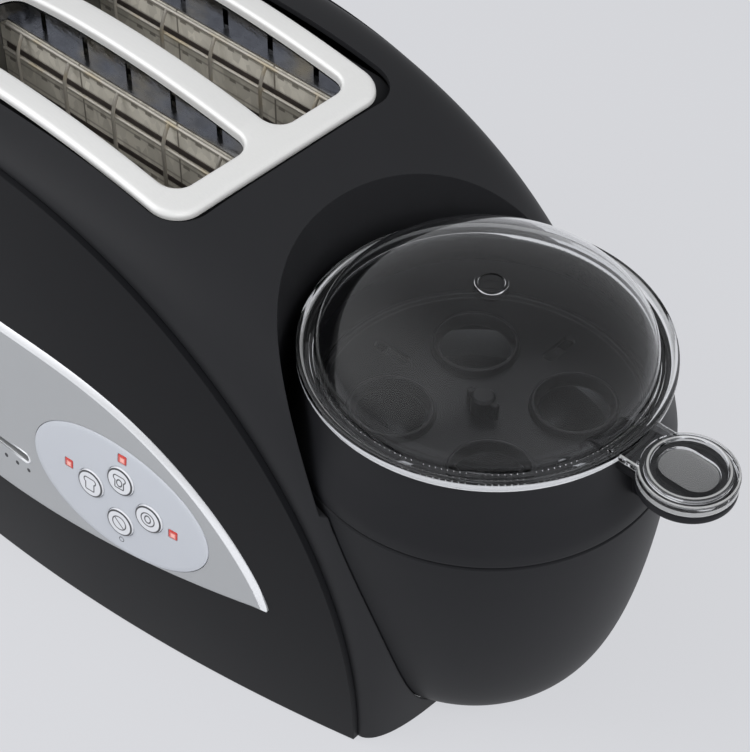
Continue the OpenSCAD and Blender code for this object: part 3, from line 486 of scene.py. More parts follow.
class Finish:
    """A material round one Principled shader. Its constants stay on the shader's own sockets."""

    def __init__(self, name, colour, **constants):
        self.material = bpy.data.materials.new(name)
        self.material.use_nodes = True
        self.tree = self.material.node_tree
        self.shader = self.tree.nodes["Principled BSDF"]
        self.material.diffuse_color = (*colour, 1)
        self.set(Base_Color=colour, **constants)
        self.place = self.node("ShaderNodeTexCoord").outputs["Object"]
        parts = self.node("ShaderNodeSeparateXYZ", sockets={0: self.place})
        self.x, self.y, self.z = (Value(self.tree, part) * 1000 for part in parts.outputs)

    def node(self, kind, settings=None, sockets=None):
        return add_node(self.tree, kind, settings, sockets)

    def set(self, **values):
        for key, value in values.items():
            link(self.tree, self.shader.inputs[key.replace("_", " ")], value)

    def scaled(self, size, stretch):
        """Object coordinates in lumps of size millimetres."""
        return self.node("ShaderNodeMapping",
            sockets={"Vector": self.place, "Scale": [s / (size * MM) for s in stretch]}).outputs[0]

    def noise(self, size, stretch=(1, 1, 1), detail=2):
        """Noise from 0 to 1 whose lumps are about size millimetres across."""
        return Value(self.tree, self.node("ShaderNodeTexNoise",
            sockets={"Vector": self.scaled(size, stretch), "Scale": 1, "Detail": detail}).outputs[0])

    def blend(self, mask, low, high):
        """A colour between low and high."""
        return self.node("ShaderNodeMix", {"data_type": "RGBA"}, {0: mask, 6: low, 7: high}).outputs[2]

    def coat(self, base, rough, height, depth, soften=0, **more):
        """Sets what varies over the surface and returns the material.

        Height times depth millimetres is its relief, and soften rounds its edges by that many millimetres.
        """
        sockets = {"Height": height, "Strength": 1, "Distance": depth * MM}
        if soften:
            sockets["Normal"] = self.node("ShaderNodeBevel", {"samples": 4},
                {"Radius": soften * MM}).outputs[0]
        self.set(Base_Color=base, Roughness=rough,
            Normal=self.node("ShaderNodeBump", sockets=sockets).outputs[0], **more)
        return self.material

    def disc(self, x, z, r):
        """Distance outside a circle on the control side."""
        return ((self.x - x) ** 2 + (self.z - z) ** 2).root() - r


# ---- Finishes ----
def nearest(first, *others):
    """The least of some distances."""
    for other in others:
        first = first.low(other)
    return first


def line(distance, width):
    """1 within width of where a distance is 0."""
    return 1 - abs(distance).step(width * 0.35, width * 0.65)


def moulded(name, colour, roughness=0.44, grain=0.012, soften=0.5, **constants):
    """Moulded plastic with a fine grain."""
    f = Finish(name, colour, **constants)
    fine = f.noise(0.55, detail=1)
    base = f.blend(f.noise(34, detail=3) * 0.7 + fine * 0.3, colour,
        [min(1, c * 1.16 + 0.0006) for c in colour])
    return f.coat(base, roughness - 0.05 + 0.07 * f.noise(60) + 0.04 * fine, fine, grain, soften)


def brushed(name, colour, roughness=0.3, along=(0.02, 1, 1), metal=1):
    """Sheet metal with fine lines along one axis."""
    f = Finish(name, colour, Metallic=metal)
    streak, blot = f.noise(0.35, along, 3), f.noise(45)
    return f.coat(f.blend(streak * 0.6 + blot * 0.4, shade(colour, 0.86), colour),
        roughness - 0.06 + 0.1 * streak + 0.05 * blot, streak, 0.004)


def ground_steel(name, colour):
    """Steel with fine rings and stains."""
    f = Finish(name, colour, Metallic=1)
    stain = f.noise(9, detail=3)
    return f.coat(f.blend(stain, shade(colour, 0.78), colour), 0.28 + 0.12 * stain,
        f.noise(1.2, (1, 1, 6), 3), 0.006)


def silver_paint(name, colour, polished=False):
    """Metallic lacquer with fine flakes, and the browning scale's dots below its slot."""
    f = Finish(name, colour, Metallic=0.55, Coat_Roughness=0.15)
    flake = f.noise(0.25, detail=1)
    base = f.blend(flake * 0.6 + f.noise(50) * 0.4, colour, shade(colour, 1.12))
    if polished:
        return f.coat(base, 0.16 + 0.06 * flake, flake, 0.003, 0.3, Coat_Weight=0.5)
    dots = nearest(*(f.disc(DOT_X - DOT_PITCH * k, DOT_Z - 0.09 * k, DOT_R + 0.03 * k) for k in range(DOTS)))
    base = f.blend(1 - dots.step(-0.12, 0.12), base, (0.03, 0.03, 0.035))
    return f.coat(base, 0.34 + 0.06 * flake, flake, 0.003, 0.3, Coat_Weight=0.15)


def pad_lacquer(name, colour):
    """The pad's grey, with a small printed ring."""
    f = Finish(name, colour)
    fine = f.noise(0.4, detail=1)
    base = f.blend(f.noise(30), shade(colour, 0.95), colour)
    mark = line(f.disc(*MARK_AT, MARK_R), 0.35)
    return f.coat(f.blend(mark, base, (0.05, 0.05, 0.06)), 0.36 + 0.08 * fine, fine, 0.004, 0.25)


def icon(f, kind, x, z):
    """Distance to the lines of a button's printed sign."""
    def box(w, h, r, dz):
        qx, qz = abs(f.x - x) - (w - r), abs(f.z - (z + dz)) - (h - r)
        return (qx.high(0) ** 2 + qz.high(0) ** 2).root() + qx.high(qz).low(0) - r

    def egg(a, b, dz=0):
        return ((((f.x - x) / a) ** 2 + ((f.z - (z + dz)) / b) ** 2).root() - 1) * min(a, b)

    if kind == "egg":
        return abs(egg(3.1, 3.1)).low(abs(egg(1.35, 1.7, 0.1)))
    if kind == "stop":
        slash = ((f.x - x) + (f.z - z)) * 0.7071
        return abs(egg(3.2, 3.2)).low(abs(slash).high(egg(3.2, 3.2)))
    bread = abs(box(2.1, 2.7, 0.5, -0.4).low(box(2.9, 1.25, 1.2, 1.55)))
    return bread if kind == "toast" else bread.low(abs(egg(1.25, 1.6, -0.5)))


def button_lacquer(name, colour, kind, x, z):
    """A button's face with its dark ring and its printed sign."""
    f = Finish(name, colour, Coat_Roughness=0.2)
    fine = f.noise(0.4, detail=1)
    ink = line(f.disc(x, z, BUTTON_R - 0.55), 0.75).high(1 - icon(f, kind, x, z).step(0.16, 0.36))
    return f.coat(f.blend(ink, colour, (0.035, 0.036, 0.04)), 0.3 + 0.08 * fine, fine - 3 * ink, 0.004,
        0.25, Coat_Weight=0.25 - 0.1 * ink)


def lamp_lens(name, colour):
    """Red lenses, with a painted highlight near the middle of each."""
    f = Finish(name, colour, Coat_Roughness=0.08)
    # glow marks the painted highlight: each lens is paler and glossier near its middle
    near = [abs(f.x - (x + 0.2)).high(abs(f.z - (z - 0.1))) for x, z in LAMPS]
    glow = 1 - nearest(*near).step(0.5, 1.5)
    return f.coat(f.blend(glow, colour, (0.86, 0.42, 0.36)), 0.22 + 0.1 * f.noise(1.5), f.noise(0.9), 0.01,
        0.3, Coat_Weight=0.5 + 0.2 * glow)


def mica(name, colour):
    """Pressed mica with flakes, upright seams and scorched patches."""
    f = Finish(name, colour)
    flakes = f.node("ShaderNodeTexVoronoi", sockets={"Vector": f.scaled(3.4, (1, 0.2, 0.6)), "Scale": 1})
    flake = Value(f.tree, f.node("ShaderNodeSeparateColor",
        sockets={0: flakes.outputs["Color"]}).outputs[0])
    cloud = f.noise(16, detail=3)
    pitch = 27.85
    seam = line((f.x + 95.5).repeat(2 * pitch), 0.9)
    rows = line((f.z - 151).repeat(7.5), 0.9) * 0.55
    mark = (1 - abs((f.x + 88).repeat(pitch) - 4).step(1.6, 2)) * (1
        - abs((f.z - 143).repeat(15)).step(0.7, 1))
    base = f.blend(flake * 0.5 + cloud * 0.5, shade(colour, 0.72), shade(colour, 1.25))
    base = f.blend(seam.high(rows).high(mark * 0.9) * 0.75, base, (0.07, 0.055, 0.045))
    return f.coat(base, 0.42 + 0.25 * flake, flake + 0.6 * cloud, 0.05)


def throat_steel(name, colour):
    """Bright sheet that has tarnished from the heat."""
    f = Finish(name, colour, Metallic=1)
    blot = f.noise(7, (1, 1, 1.6), 4)
    base = f.blend(blot, shade(colour, 0.5), colour)
    base = f.blend(f.noise(22).step(0.5, 0.75) * 0.25, base, (0.62, 0.52, 0.30))
    return f.coat(base, 0.14 + 0.2 * blot + 0.05 * f.noise(0.6, (0.05, 1, 1)), blot, 0.35)


def wire_steel(name, colour):
    """Drawn wire, browned where it runs closest to the heat."""
    f = Finish(name, colour, Metallic=0.7)
    fine = f.noise(0.8, (1, 1, 0.2))
    base = f.blend(f.noise(14).step(0.52, 0.72) * 0.5, colour, (0.50, 0.40, 0.22))
    return f.coat(base, 0.4 + 0.12 * fine, fine, 0.01)


def ribbon_alloy(name, colour):
    """Flat heating ribbon with scale on it."""
    f = Finish(name, colour, Metallic=0.8)
    scale = f.noise(2, detail=3)
    return f.coat(f.blend(scale, colour, (0.22, 0.19, 0.18)), 0.45 + 0.2 * scale, scale, 0.01)


def board_lacquer(name, colour):
    """Circuit board with its tracks and solder."""
    f = Finish(name, colour)
    track = line(f.x.repeat(3.2), 0.5).high(line(f.z.repeat(4.6), 0.5)) * f.noise(9).step(0.45, 0.55)
    solder = 1 - ((f.x.repeat(6.4) ** 2 + f.z.repeat(9.2) ** 2).root() - 0.8).step(-0.1, 0.1)
    base = f.blend(solder, f.blend(track, colour, shade(colour, 2.6)), (0.55, 0.55, 0.56))
    return f.coat(base, 0.38 + 0.1 * f.noise(3), track + solder, 0.03, Metallic=solder * 0.9)


def rubber(name, colour):
    f = Finish(name, colour)
    fine = f.noise(0.5)
    return f.coat(f.blend(f.noise(12), colour, shade(colour, 1.4)), 0.78 + 0.12 * fine, fine, 0.03)


def cast_metal(name, colour):
    f = Finish(name, colour, Metallic=1)
    pit = f.noise(0.9, detail=3)
    return f.coat(f.blend(f.noise(10), shade(colour, 0.8), colour), 0.5 + 0.2 * pit, pit, 0.06)


def coil_lacquer(name, colour):
    """Copper windings round a plated core."""
    f = Finish(name, colour, Metallic=1)
    return f.coat(f.blend(f.noise(6), shade(colour, 0.7), colour), 0.28 + 0.1 * f.noise(2),
        f.z.repeat(0.6), 0.25)


def clear_plastic(name, colour):
    """Clear plastic: what is behind it shows through."""
    f = Finish(name, colour, IOR=1.36, Transmission_Weight=1)
    smear = f.noise(28)
    return f.coat(colour, 0.01 + 0.02 * smear, smear, 0.01)


def frosted_edge(name, colour):
    """The lid's moulded edges and grip, which are less clear than its dome; the edges' whitish colour is a
    painted highlight.
    """
    f = Finish(name, colour, IOR=1.4, Transmission_Weight=0.7)
    cloud = f.noise(9)
    return f.coat(f.blend(cloud, colour, shade(colour, 0.95)), 0.12 + 0.08 * cloud, cloud, 0.004)


def floor_finish(name, colour):
    """Pale floor that looks the same right across, with a soft shadow."""
    f = Finish(name, colour, Specular_IOR_Level=0)
    grain = f.noise(3)
    f.set(Base_Color=f.blend(grain, shade(colour, 0.985), colour), Roughness=0.9 + 0.05 * grain)
    plain = f.node("ShaderNodeEmission", sockets={"Color": colour, "Strength": 1})
    seen_plain(f.tree, "Material Output", f.shader, plain, 0.86, "Glossy", "Transmission")
    return f.material


# ---- Geometry Nodes ----
SOCKETS = {float: "NodeSocketFloat", int: "NodeSocketInt", bpy.types.Material: "NodeSocketMaterial"}


class Grower:
    """A Geometry Nodes tree with named inputs, and the mesh that it makes from them."""

    def __init__(self, name, **inputs):
        self.name, self.inputs = name, inputs
        self.tree = bpy.data.node_groups.new(name, "GeometryNodeTree")
        self.tree.interface.new_socket("Mesh", in_out="OUTPUT", socket_type="NodeSocketGeometry")
        self.sockets = {}
        for key, value in inputs.items():
            kind = SOCKETS[bpy.types.Material if isinstance(value, bpy.types.Material) else type(value)]
            self.sockets[key] = self.tree.interface.new_socket(key.replace("_", " ").capitalize(),
                in_out="INPUT", socket_type=kind)
        self.group = self.tree.nodes.new("NodeGroupInput")

    def given(self, key):
        socket = self.group.outputs[list(self.inputs).index(key)]
        return Value(self.tree, socket) if socket.type in ("VALUE", "INT") else socket

    def node(self, kind, settings=None, sockets=None, out=0):
        return add_node(self.tree, kind, settings, sockets).outputs[out]

    def vector(self, x, y, z):
        return self.node("ShaderNodeCombineXYZ", sockets={0: x, 1: y, 2: z})

    def join(self, *parts):
        made = self.tree.nodes.new("GeometryNodeJoinGeometry")
        for part in parts:
            self.tree.links.new(part, made.inputs[0])
        return made.outputs[0]

    def tube(self, curve, r, sides=10):
        ring = self.node("GeometryNodeCurvePrimitiveCircle", {"mode": "RADIUS"},
            {"Resolution": sides, "Radius": r})
        return self.node("GeometryNodeCurveToMesh",
            sockets={"Curve": curve, "Profile Curve": ring, "Fill Caps": True})

    def rod(self, start, end):
        return self.node("GeometryNodeCurvePrimitiveLine", {"mode": "POINTS"}, {"Start": start, "End": end})

    def repeat(self, thing, count, start, offset):
        row = self.node("GeometryNodeMeshLine", {"mode": "OFFSET"},
            {"Count": count, "Start Location": start, "Offset": offset})
        return self.node("GeometryNodeInstanceOnPoints", sockets={"Points": row, "Instance": thing})

    def make(self, name, shape):
        """Ends the tree at the shape and returns the object that it makes."""
        real = self.node("GeometryNodeRealizeInstances", sockets={"Geometry": shape})
        coated = self.node("GeometryNodeSetMaterial",
            sockets={"Geometry": real, "Material": self.given("finish")})
        self.tree.links.new(coated, self.tree.nodes.new("NodeGroupOutput").inputs[0])
        piece = added(name, bpy.data.meshes.new(name))
        grow = piece.modifiers.new(self.name, "NODES")
        grow.node_group = self.tree
        for key, value in self.inputs.items():
            grow[self.sockets[key].identifier] = value
        return settle(piece)


# ---- Pieces of the body ----
def shell(outer, inner, rows, cols):
    """Points and faces between two grids of rows by cols points, closed along its border."""
    n = rows * cols
    faces = strips(rows, cols)
    faces += [tuple(i + n for i in reversed(f)) for f in faces]
    border = ([i for i in range(cols)], [(rows - 1) * cols + i for i in range(cols)],
        [i * cols for i in range(rows)], [i * cols + cols - 1 for i in range(rows)])
    for run in border:
        faces += [(a, b, b + n, a + n) for a, b in zip(run, run[1:])]
    return outer + inner, faces


def saddle_layer(depth, rows, cols):
    return [saddle(2 * i / rows, math.sin(math.pi / 2 * (2 * j / cols - 1)), depth)
        for i in range(rows + 1) for j in range(cols + 1)]


def cylinder(name, r, low, high):
    """A round tool on the cooker's axis."""
    return solid(name, prism(circle(r, 200, AXIS), low, high))


def box_tool(name, low, high):
    outline = [(low[0], low[1]), (high[0], low[1]), (high[0], high[1]), (low[0], high[1])]
    return solid(name, prism(outline, low[2], high[2]))


def belly(grow=0, wall=0, steps=44):
    """Profile of the bellied housing from its seam down to its flat bottom."""
    return [(BOTTOM_R + grow + (SEAM_R - wall - BOTTOM_R) * max(0, math.cos(t)) ** (2 / 3.38),
        HOUSING_TOP + grow - (HOUSING_H - wall + 2 * grow) * math.sin(t) ** (2 / 1.8))
        for t in quarter_turn(steps)]


def trim_slope(edge_of, u, step=1e-3):
    """How much longer the edge is than its run at u."""
    near, far = max(-1, u - step), min(1, u + step)
    return math.hypot(1, (edge_of(far) - edge_of(near)) / (abs(trim_x(far) - trim_x(near)) or 1))


def trim_outline(grow, steps=110):
    us = [math.sin(math.pi / 2 * i / steps) for i in range(-steps, steps + 1)]
    low = [(trim_x(u) + grow * u, trim_lower(u) - grow) for u in us]
    high = [(trim_x(u) + grow * u, trim_upper(u) + grow) for u in reversed(us[1:-1])]
    tips = [(trim_x(-1) - grow, TRIM_TIP)], [(trim_x(1) + grow, TRIM_TIP)]
    return tips[0] + low[1:-1] + tips[1] + high


def side_shell(name, side, rows=168, rings=40):
    """One bulging side panel; side is -1 for the control side and 1 for the rear."""
    band = BAND_FRONT if side < 0 else BAND_REAR

    def layer(depth):
        grid = [(ARCH_X + (x - ARCH_X) * j / rings, BASE_Z + (z - BASE_Z) * j / rings)
            for j in range(rings + 1) for x, z in (crease(2 * i / rows) for i in range(rows + 1))]
        return [(x, side * (side_y(x, z, band) - depth), z) for x, z in grid]

    return solid(name, shell(layer(0), layer(WALL), rings + 1, rows + 1))


def arched_cover():
    rows, cols = 176, 56
    outer = saddle_layer(0, rows, cols)
    piece = solid("arched_cover", shell(outer, saddle_layer(WALL, rows, cols), rows + 1, cols + 1))
    block = solid("block", shell(outer, [(p[0], p[1], BASE_Z - 1) for p in outer], rows + 1, cols + 1))
    cup = cylinder("cup", RECESS_R + WALL, RECESS_Z - WALL, 200)
    carve(piece, carve(cup, block, way="INTERSECT"), way="UNION")
    gutter = rectangle(PLATE_L + 4.6, PLATE_W + 7.4, PLATE_CORNER + 3, (SLOT_X + 0.9, 2.5), 12)
    housing_room = turned([(0, 113.1)] + belly(0.4) + [(0, 3)])
    carve(piece, cylinder("recess", RECESS_R, RECESS_Z, 210), solid("housing_room", housing_room))
    carve(piece, cylinder("seam_room", SEAM_R + 0.4, 103, 115),
        solid("plate_room", prism(gutter, 150, 210)))
    carve(piece, box_tool("lever_room", (END_X - 1, -3.3, 64.2), (END_X + 25, 3.3, 141.8)))
    ledge = pressed(inset(gutter, -1), [(0, -9), (0, -6.8), (9, -6.8), (9, -9)], at_plate, ring=True)
    return carve(piece, solid("ledge", ledge), way="UNION")


def control_panel():
    return carve(side_shell("control_panel", -1), solid("hole", hole_at(trim_outline(0.25))))


def rear_panel():
    low, high = (DRAWER_LEFT - 0.3, 40, DRAWER_LOW - 0.3), (DRAWER_RIGHT + 0.3, 120, DRAWER_TOP + 0.3)
    inlet = prism(circle(6.05, 64, (45, 24)), 40, 130, along_y)
    vents = [prism(rectangle(2.4, 26, 1.19, (-125 + 9 * i, 62), 6), 60, 130, along_y) for i in range(14)]
    return carve(side_shell("rear_shell", 1), box_tool("drawer_room", low, high), solid("inlet", inlet),
        solid("vents", *vents))


def plate_mesh():
    """Stamped steel plate that follows the arch, with its edges rolled down."""
    bm = bmesh.new()

    def ring(outline, profile):
        loops = [[bm.verts.new((p[0], p[1], h)) for p in inset(outline, d)] for d, h in profile]
        for a, b in zip(loops, loops[1:]):
            for i in range(len(a)):
                j = (i + 1) % len(a)
                bm.faces.new((a[i], a[j], b[j], b[i]))
        return loops[-1]

    def roll(r, lip, way):
        arc = [(way * (r - r * math.cos(t)), -r + r * math.sin(t)) for t in quarter_turn(6)]
        return [(0, -lip), (0, -(lip + r) / 2)] + arc

    inner = [ring(rectangle(PLATE_L, PLATE_W, PLATE_CORNER, (SLOT_X, 0), 14), roll(2.2, 3.1, 1))]
    for side in (-1, 1):
        inner.append(ring(rectangle(SLOT_L, SLOT_W, SLOT_CORNER, (SLOT_X, side * SLOT_Y), 12),
            roll(1.8, 4, -1)))
    edges = [bm.edges.get((run[i], run[(i + 1) % len(run)])) for run in inner for i in range(len(run))]
    bmesh.ops.triangle_fill(bm, use_beauty=True, edges=edges)
    for k in range(1, 64):
        x = SLOT_X + PLATE_L * (k / 64 - 0.5)
        bmesh.ops.bisect_plane(bm, geom=bm.verts[:] + bm.edges[:] + bm.faces[:], dist=1e-6,
            plane_co=(x, 0, 0), plane_no=(1, 0, 0))
    bmesh.ops.recalc_face_normals(bm, faces=bm.faces)
    flat = max(bm.faces, key=lambda f: f.calc_area())
    if flat.normal.z < 0:
        bmesh.ops.reverse_faces(bm, faces=bm.faces)
    for v in bm.verts:
        v.co = Vector((v.co.x, v.co.y, v.co.z + plate_z(v.co.x))) * MM
    piece = from_bmesh("slot_plate", bm)
    wall = piece.modifiers.new("wall", "SOLIDIFY")
    wall.thickness, wall.offset, wall.use_even_offset = PLATE_SHEET * MM, -1, True
    return settle(piece)


def trim_mesh():
    """Lens-shaped silver panel that follows the side, with a bevel along its edge whose upper side gets a
    painted highlight.
    """
    cols = 200
    low_edge = ((0, 2.6), (0, 0.9), (0.15, 0.45), (0.5, 0.12), (1, 0))
    high_edge = ((3.3, 0), (2.9, 0.06), (0.7, 1.05), (0.2, 1.4), (0, 1.9), (0, 2.6))
    inner = 16
    points = []
    for i in range(cols + 1):
        u = math.sin(math.pi / 2 * (2 * i / cols - 1))
        x, zl, zh = trim_x(u), trim_lower(u), trim_upper(u)
        kl, kh = trim_slope(trim_lower, u), trim_slope(trim_upper, u)
        h = zh - zl
        cut = min(1, 0.42 * h / (3.3 * kh)) if h > 1e-6 else 0
        section = [(zl + d * kl * cut, s if s > 1 else s * max(cut, 0.3)) for d, s in low_edge]
        a, b = section[-1][0], zh - high_edge[0][0] * kh * cut
        section += [(a + (b - a) * k / (inner + 1), 0) for k in range(1, inner + 1)]
        section += [(zh - d * kh * cut, s if s > 2 else s * max(cut, 0.3)) for d, s in high_edge]
        section += [(zh + (zl - zh) * k / 8, 2.6) for k in range(1, 8)]
        points += [(x, -(side_y(x, z) + PANEL_PROUD - depth), z) for z, depth in section]
    total = len(section)
    ends = [tuple(end * total + k for k in range(total)) for end in (0, cols)]
    return points, strips(cols + 1, total, close_cols=True) + ends


def on_bevel(point, normal):
    """1 where a point of the trim lies on the bevel along its upper edge, which gets the painted highlight.
    """
    u = (point.x - TRIM_X) / (TRIM_RIGHT if point.x > TRIM_X else TRIM_LEFT)
    return int(abs(u) <= 0.9995 and (trim_upper(u) - point.z) / trim_slope(trim_upper, u) < 2.95
        and normal.y < -0.05 and -point.y > side_y(point.x, point.z) - 1)


def tab_outline(r, neck, steps=72):
    """Outline of a round tab and its neck, which reaches into the rim."""
    turn = math.pi - math.asin(min(1, neck / 2 / r))
    arc = [polar(r, -turn + 2 * turn * k / steps, TAB_AT) for k in range(steps + 1)]
    root = COOKER_X + RIM_R - 4
    return arc + [(root, neck / 2), (root, -neck / 2)]


# ---- Settings ----
def colour(name, description, default):
    return FloatVectorProperty(name=name, description=description, subtype="COLOR", size=3, min=0, max=1,
        default=default)


class CoverSettings(bpy.types.PropertyGroup):
    cover: colour("Cover Colour", "Colour of the arched cover", (0.0155, 0.0158, 0.0174))
    # The side panels' colour is a darker copy of the cover's, a painted shade for the sides that face away
    # from the light above
    panel: colour("Panel Colour", "Colour of the two side panels", (0.0052, 0.0054, 0.0064))
    gloss: FloatProperty(name="Roughness", description="Roughness of the moulded covers", min=0.1, max=1,
        default=0.46)
    soften: FloatProperty(name="Edge Radius",
        description="Radius that softens the covers' edges, in millimetres", min=0, max=2, default=0.6)


class SlotSettings(bpy.types.PropertyGroup):
    plate: colour("Plate Colour", "Colour of the steel plate", (0.80, 0.80, 0.79))
    sides: IntProperty(name="Wire Sides", description="Number of sides of a wire", min=6, max=24,
        default=12)
    wire: FloatProperty(name="Wire Radius", description="Radius of the guide wires, in millimetres",
        min=0.5, max=1.2, default=WIRE_R)


class ControlSettings(bpy.types.PropertyGroup):
    trim: colour("Trim Colour", "Colour of the silver panel", (0.40, 0.41, 0.42))
    pad: colour("Pad Colour", "Colour of the oval pad", (0.47, 0.49, 0.53))
    button: colour("Button Colour", "Colour of the buttons", (0.62, 0.63, 0.66))
    lamp: colour("Lamp Colour", "Colour of the lamps", (0.50, 0.035, 0.025))


class CookerSettings(bpy.types.PropertyGroup):
    bowl: colour("Bowl Colour", "Colour of the bowl and the housing", (0.0110, 0.0113, 0.0128))
    clear: colour("Lid Colour", "Tint of the clear lid", (0.97, 0.975, 0.98))


class StageSettings(bpy.types.PropertyGroup):
    floor: colour("Floor Colour", "Colour of the floor and backdrop", (0.665, 0.672, 0.701))
    sky: FloatProperty(name="Sky Strength", description="Strength of the light from all sides", min=0,
        max=3, default=0.5)
    key: FloatProperty(name="Key Power", description="Power of the lamp on the cooker's side",
        unit="POWER", min=0, default=14)
    fill: FloatProperty(name="Fill Power", description="Power of the lamp before the controls",
        unit="POWER", min=0, default=7)


# ---- Operators ----
class Builder:
    """What all operators of this file share."""
    bl_options = {"REGISTER", "UNDO"}


class COOKER_OT_covers(Builder, bpy.types.Operator):
    """Builds the arched cover and the two side panels"""
    bl_idname = "egg_cooker.covers"
    bl_label = "Covers"

    def execute(self, context):
        s = context.scene.cooker_covers
        cover = moulded("cover_plastic", s.cover, s.gloss, soften=s.soften, Specular_IOR_Level=0.16)
        # The panels are moulded in the cover's plastic; their darker colour is a painted shade
        panel = moulded("panel_painted_shade_plastic", s.panel, s.gloss - 0.04, soften=s.soften, Specular_IOR_Level=0.17)
        finished(arched_cover(), "base", cover, nodes=("body_cover",), slot="cover_black")
        finished(control_panel(), "base", panel, nodes=("front_panel",), slot="cover_black")
        finished(rear_panel(), "base", panel, nodes=("rear_panel",), slot="cover_black")
        dress(moulded("base_plastic", (0.012, 0.012, 0.013), 0.55), "base_pan")
        dress(rubber("foot_rubber", (0.014, 0.014, 0.015)), "rubber_feet", "cord_inlet")
        dress(ground_steel("screw_steel", (0.52, 0.52, 0.54)), "case_screws", "board_screws")
        return {"FINISHED"}


class COOKER_OT_slots(Builder, bpy.types.Operator):
    """Builds the steel plate, the wire guides and what shows inside the slots"""
    bl_idname = "egg_cooker.slots"
    bl_label = "Bread Slots"

    def execute(self, context):
        s = context.scene.cooker_slots
        steel = brushed("plate_steel", s.plate, 0.36, metal=0.3)
        finished(plate_mesh(), "base", steel, nodes=("top_plate",), slot="plate_steel", sharp=50)
        wire = wire_steel("guide_wire", (0.50, 0.47, 0.42))
        for name, side, way in (("front_outer", -1, -1), ("front_inner", -1, 1), ("rear_inner", 1, -1),
                ("rear_outer", 1, 1)):
            self.cage(name, side * SLOT_Y, way, s, wire)
        dress(throat_steel("throat_steel", (0.34, 0.35, 0.38)), "slot_throats")
        dress(mica("mica", (0.60, 0.57, 0.50)), "heater_boards")
        dress(ribbon_alloy("heater_alloy", (0.10, 0.085, 0.078)), "heater_ribbons")
        sheet = brushed("chassis_sheet", (0.55, 0.56, 0.57), 0.3, (1, 1, 0.02))
        dress(sheet, "lever_end_plate", "cooker_end_plate", "reflectors", "carriage")
        dress(ground_steel("rack_steel", (0.55, 0.55, 0.54)), "bread_racks", "guide_rods")
        return {"FINISHED"}

    def cage(self, name, y, way, s, finish):
        """Wire cage that leans on the bread; way points from the bread to the heater board."""
        g = Grower("Wire Cage", pitch=WIRE_PITCH * MM, uprights=5, wire=s.wire * MM,
            middle=(y + way * GUIDE_OFF) * MM, flare=(y + way * FLARE_OFF) * MM,
            behind=(y + way * (GUIDE_OFF + 1)) * MM, finish=finish)
        mid, flare, behind, wire, pitch = (g.given(k)
            for k in ("middle", "flare", "behind", "wire", "pitch"))

        def rail(start, end, depth, z):
            return g.rod(g.vector(start * MM, depth, z * MM), g.vector(end * MM, depth, z * MM))

        bend = g.node("GeometryNodeCurveQuadraticBezier",
            sockets={"Resolution": 8, "Start": g.vector(0, mid, GUIDE_BEND * MM),
            "Middle": g.vector(0, mid, (GUIDE_BEND + 5) * MM), "End": g.vector(0, flare, GUIDE_TIP * MM)})
        low = g.rod(g.vector(0, mid, (GUIDE_LOW - 1.3) * MM), g.vector(0, mid, GUIDE_BEND * MM))
        row = g.repeat(g.tube(g.join(low, bend), wire, s.sides), g.given("uprights"),
            g.vector(SLOT_X * MM - 2 * pitch, 0, 0), g.vector(pitch, 0, 0))
        span = SLOT_L / 2 - 1
        rails = [rail(SLOT_X - span, SLOT_X + span, behind, z) for z in (GUIDE_LOW, 104, 166.4)]
        rails += [rail(RAIL_LEFT, RAIL_RIGHT, behind, z) for z in RAIL_HEIGHTS]
        rails.append(rail(SLOT_X - span, SLOT_X + span, flare, GUIDE_TIP))
        piece = g.make(name + "_cage", g.join(row, g.tube(g.join(*rails), wire, s.sides)))
        finished(piece, name + "_guide", finish, nodes=(name + "_guide",), slot="wire_chrome", sharp=60)


class COOKER_OT_lever(Builder, bpy.types.Operator):
    """Builds the lever's knob, its springs and the latch"""
    bl_idname = "egg_cooker.lever"
    bl_label = "Lever"

    def execute(self, context):
        x = END_X - 14

        def outwards(y, z, h):
            return x + h, y, z

        knob = solid("lever_grip", pressed(rectangle(34, 20, 6, (0, LEVER_Z), 10), edge(12, 2.2), outwards))
        grooves = [prism(circle(0.7, 20, (x, LEVER_Z + 3.2 * i)), -11, 11, along_y) for i in range(-2, 3)]
        finished(carve(knob, solid("grooves", *grooves)), "lever",
            moulded("knob_plastic", (0.014, 0.0145, 0.016), 0.36, soften=0.3), nodes=("lever_knob",),
            slot="knob_black")
        steel = ground_steel("spring_steel", (0.42, 0.42, 0.43))
        g = Grower("Lift Springs", turns=17.0, coil=2.75 * MM, wire=0.5 * MM, finish=steel)
        spiral = g.node("GeometryNodeCurveSpiral",
            sockets={"Resolution": 20, "Rotations": g.given("turns"), "Start Radius": g.given("coil"),
            "End Radius": g.given("coil"), "Height": SPRING_H * MM})
        both = g.repeat(g.tube(spiral, g.given("wire"), 8), 2, (ROD_X * MM, -ROD_Y * MM, SPRING_FOOT * MM),
            (0, 2 * ROD_Y * MM, 0))
        coils = g.make("spring_coils", both)
        finished(coils, "base", steel, nodes=("lift_springs",), slot="spring_steel", sharp=60)
        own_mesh(coils)
        dress(coil_lacquer("coil_lacquer", (0.62, 0.30, 0.16)), "latch_magnet")
        dress(board_lacquer("board_lacquer", (0.018, 0.085, 0.045)), "latch_board", "control_board")
        return {"FINISHED"}


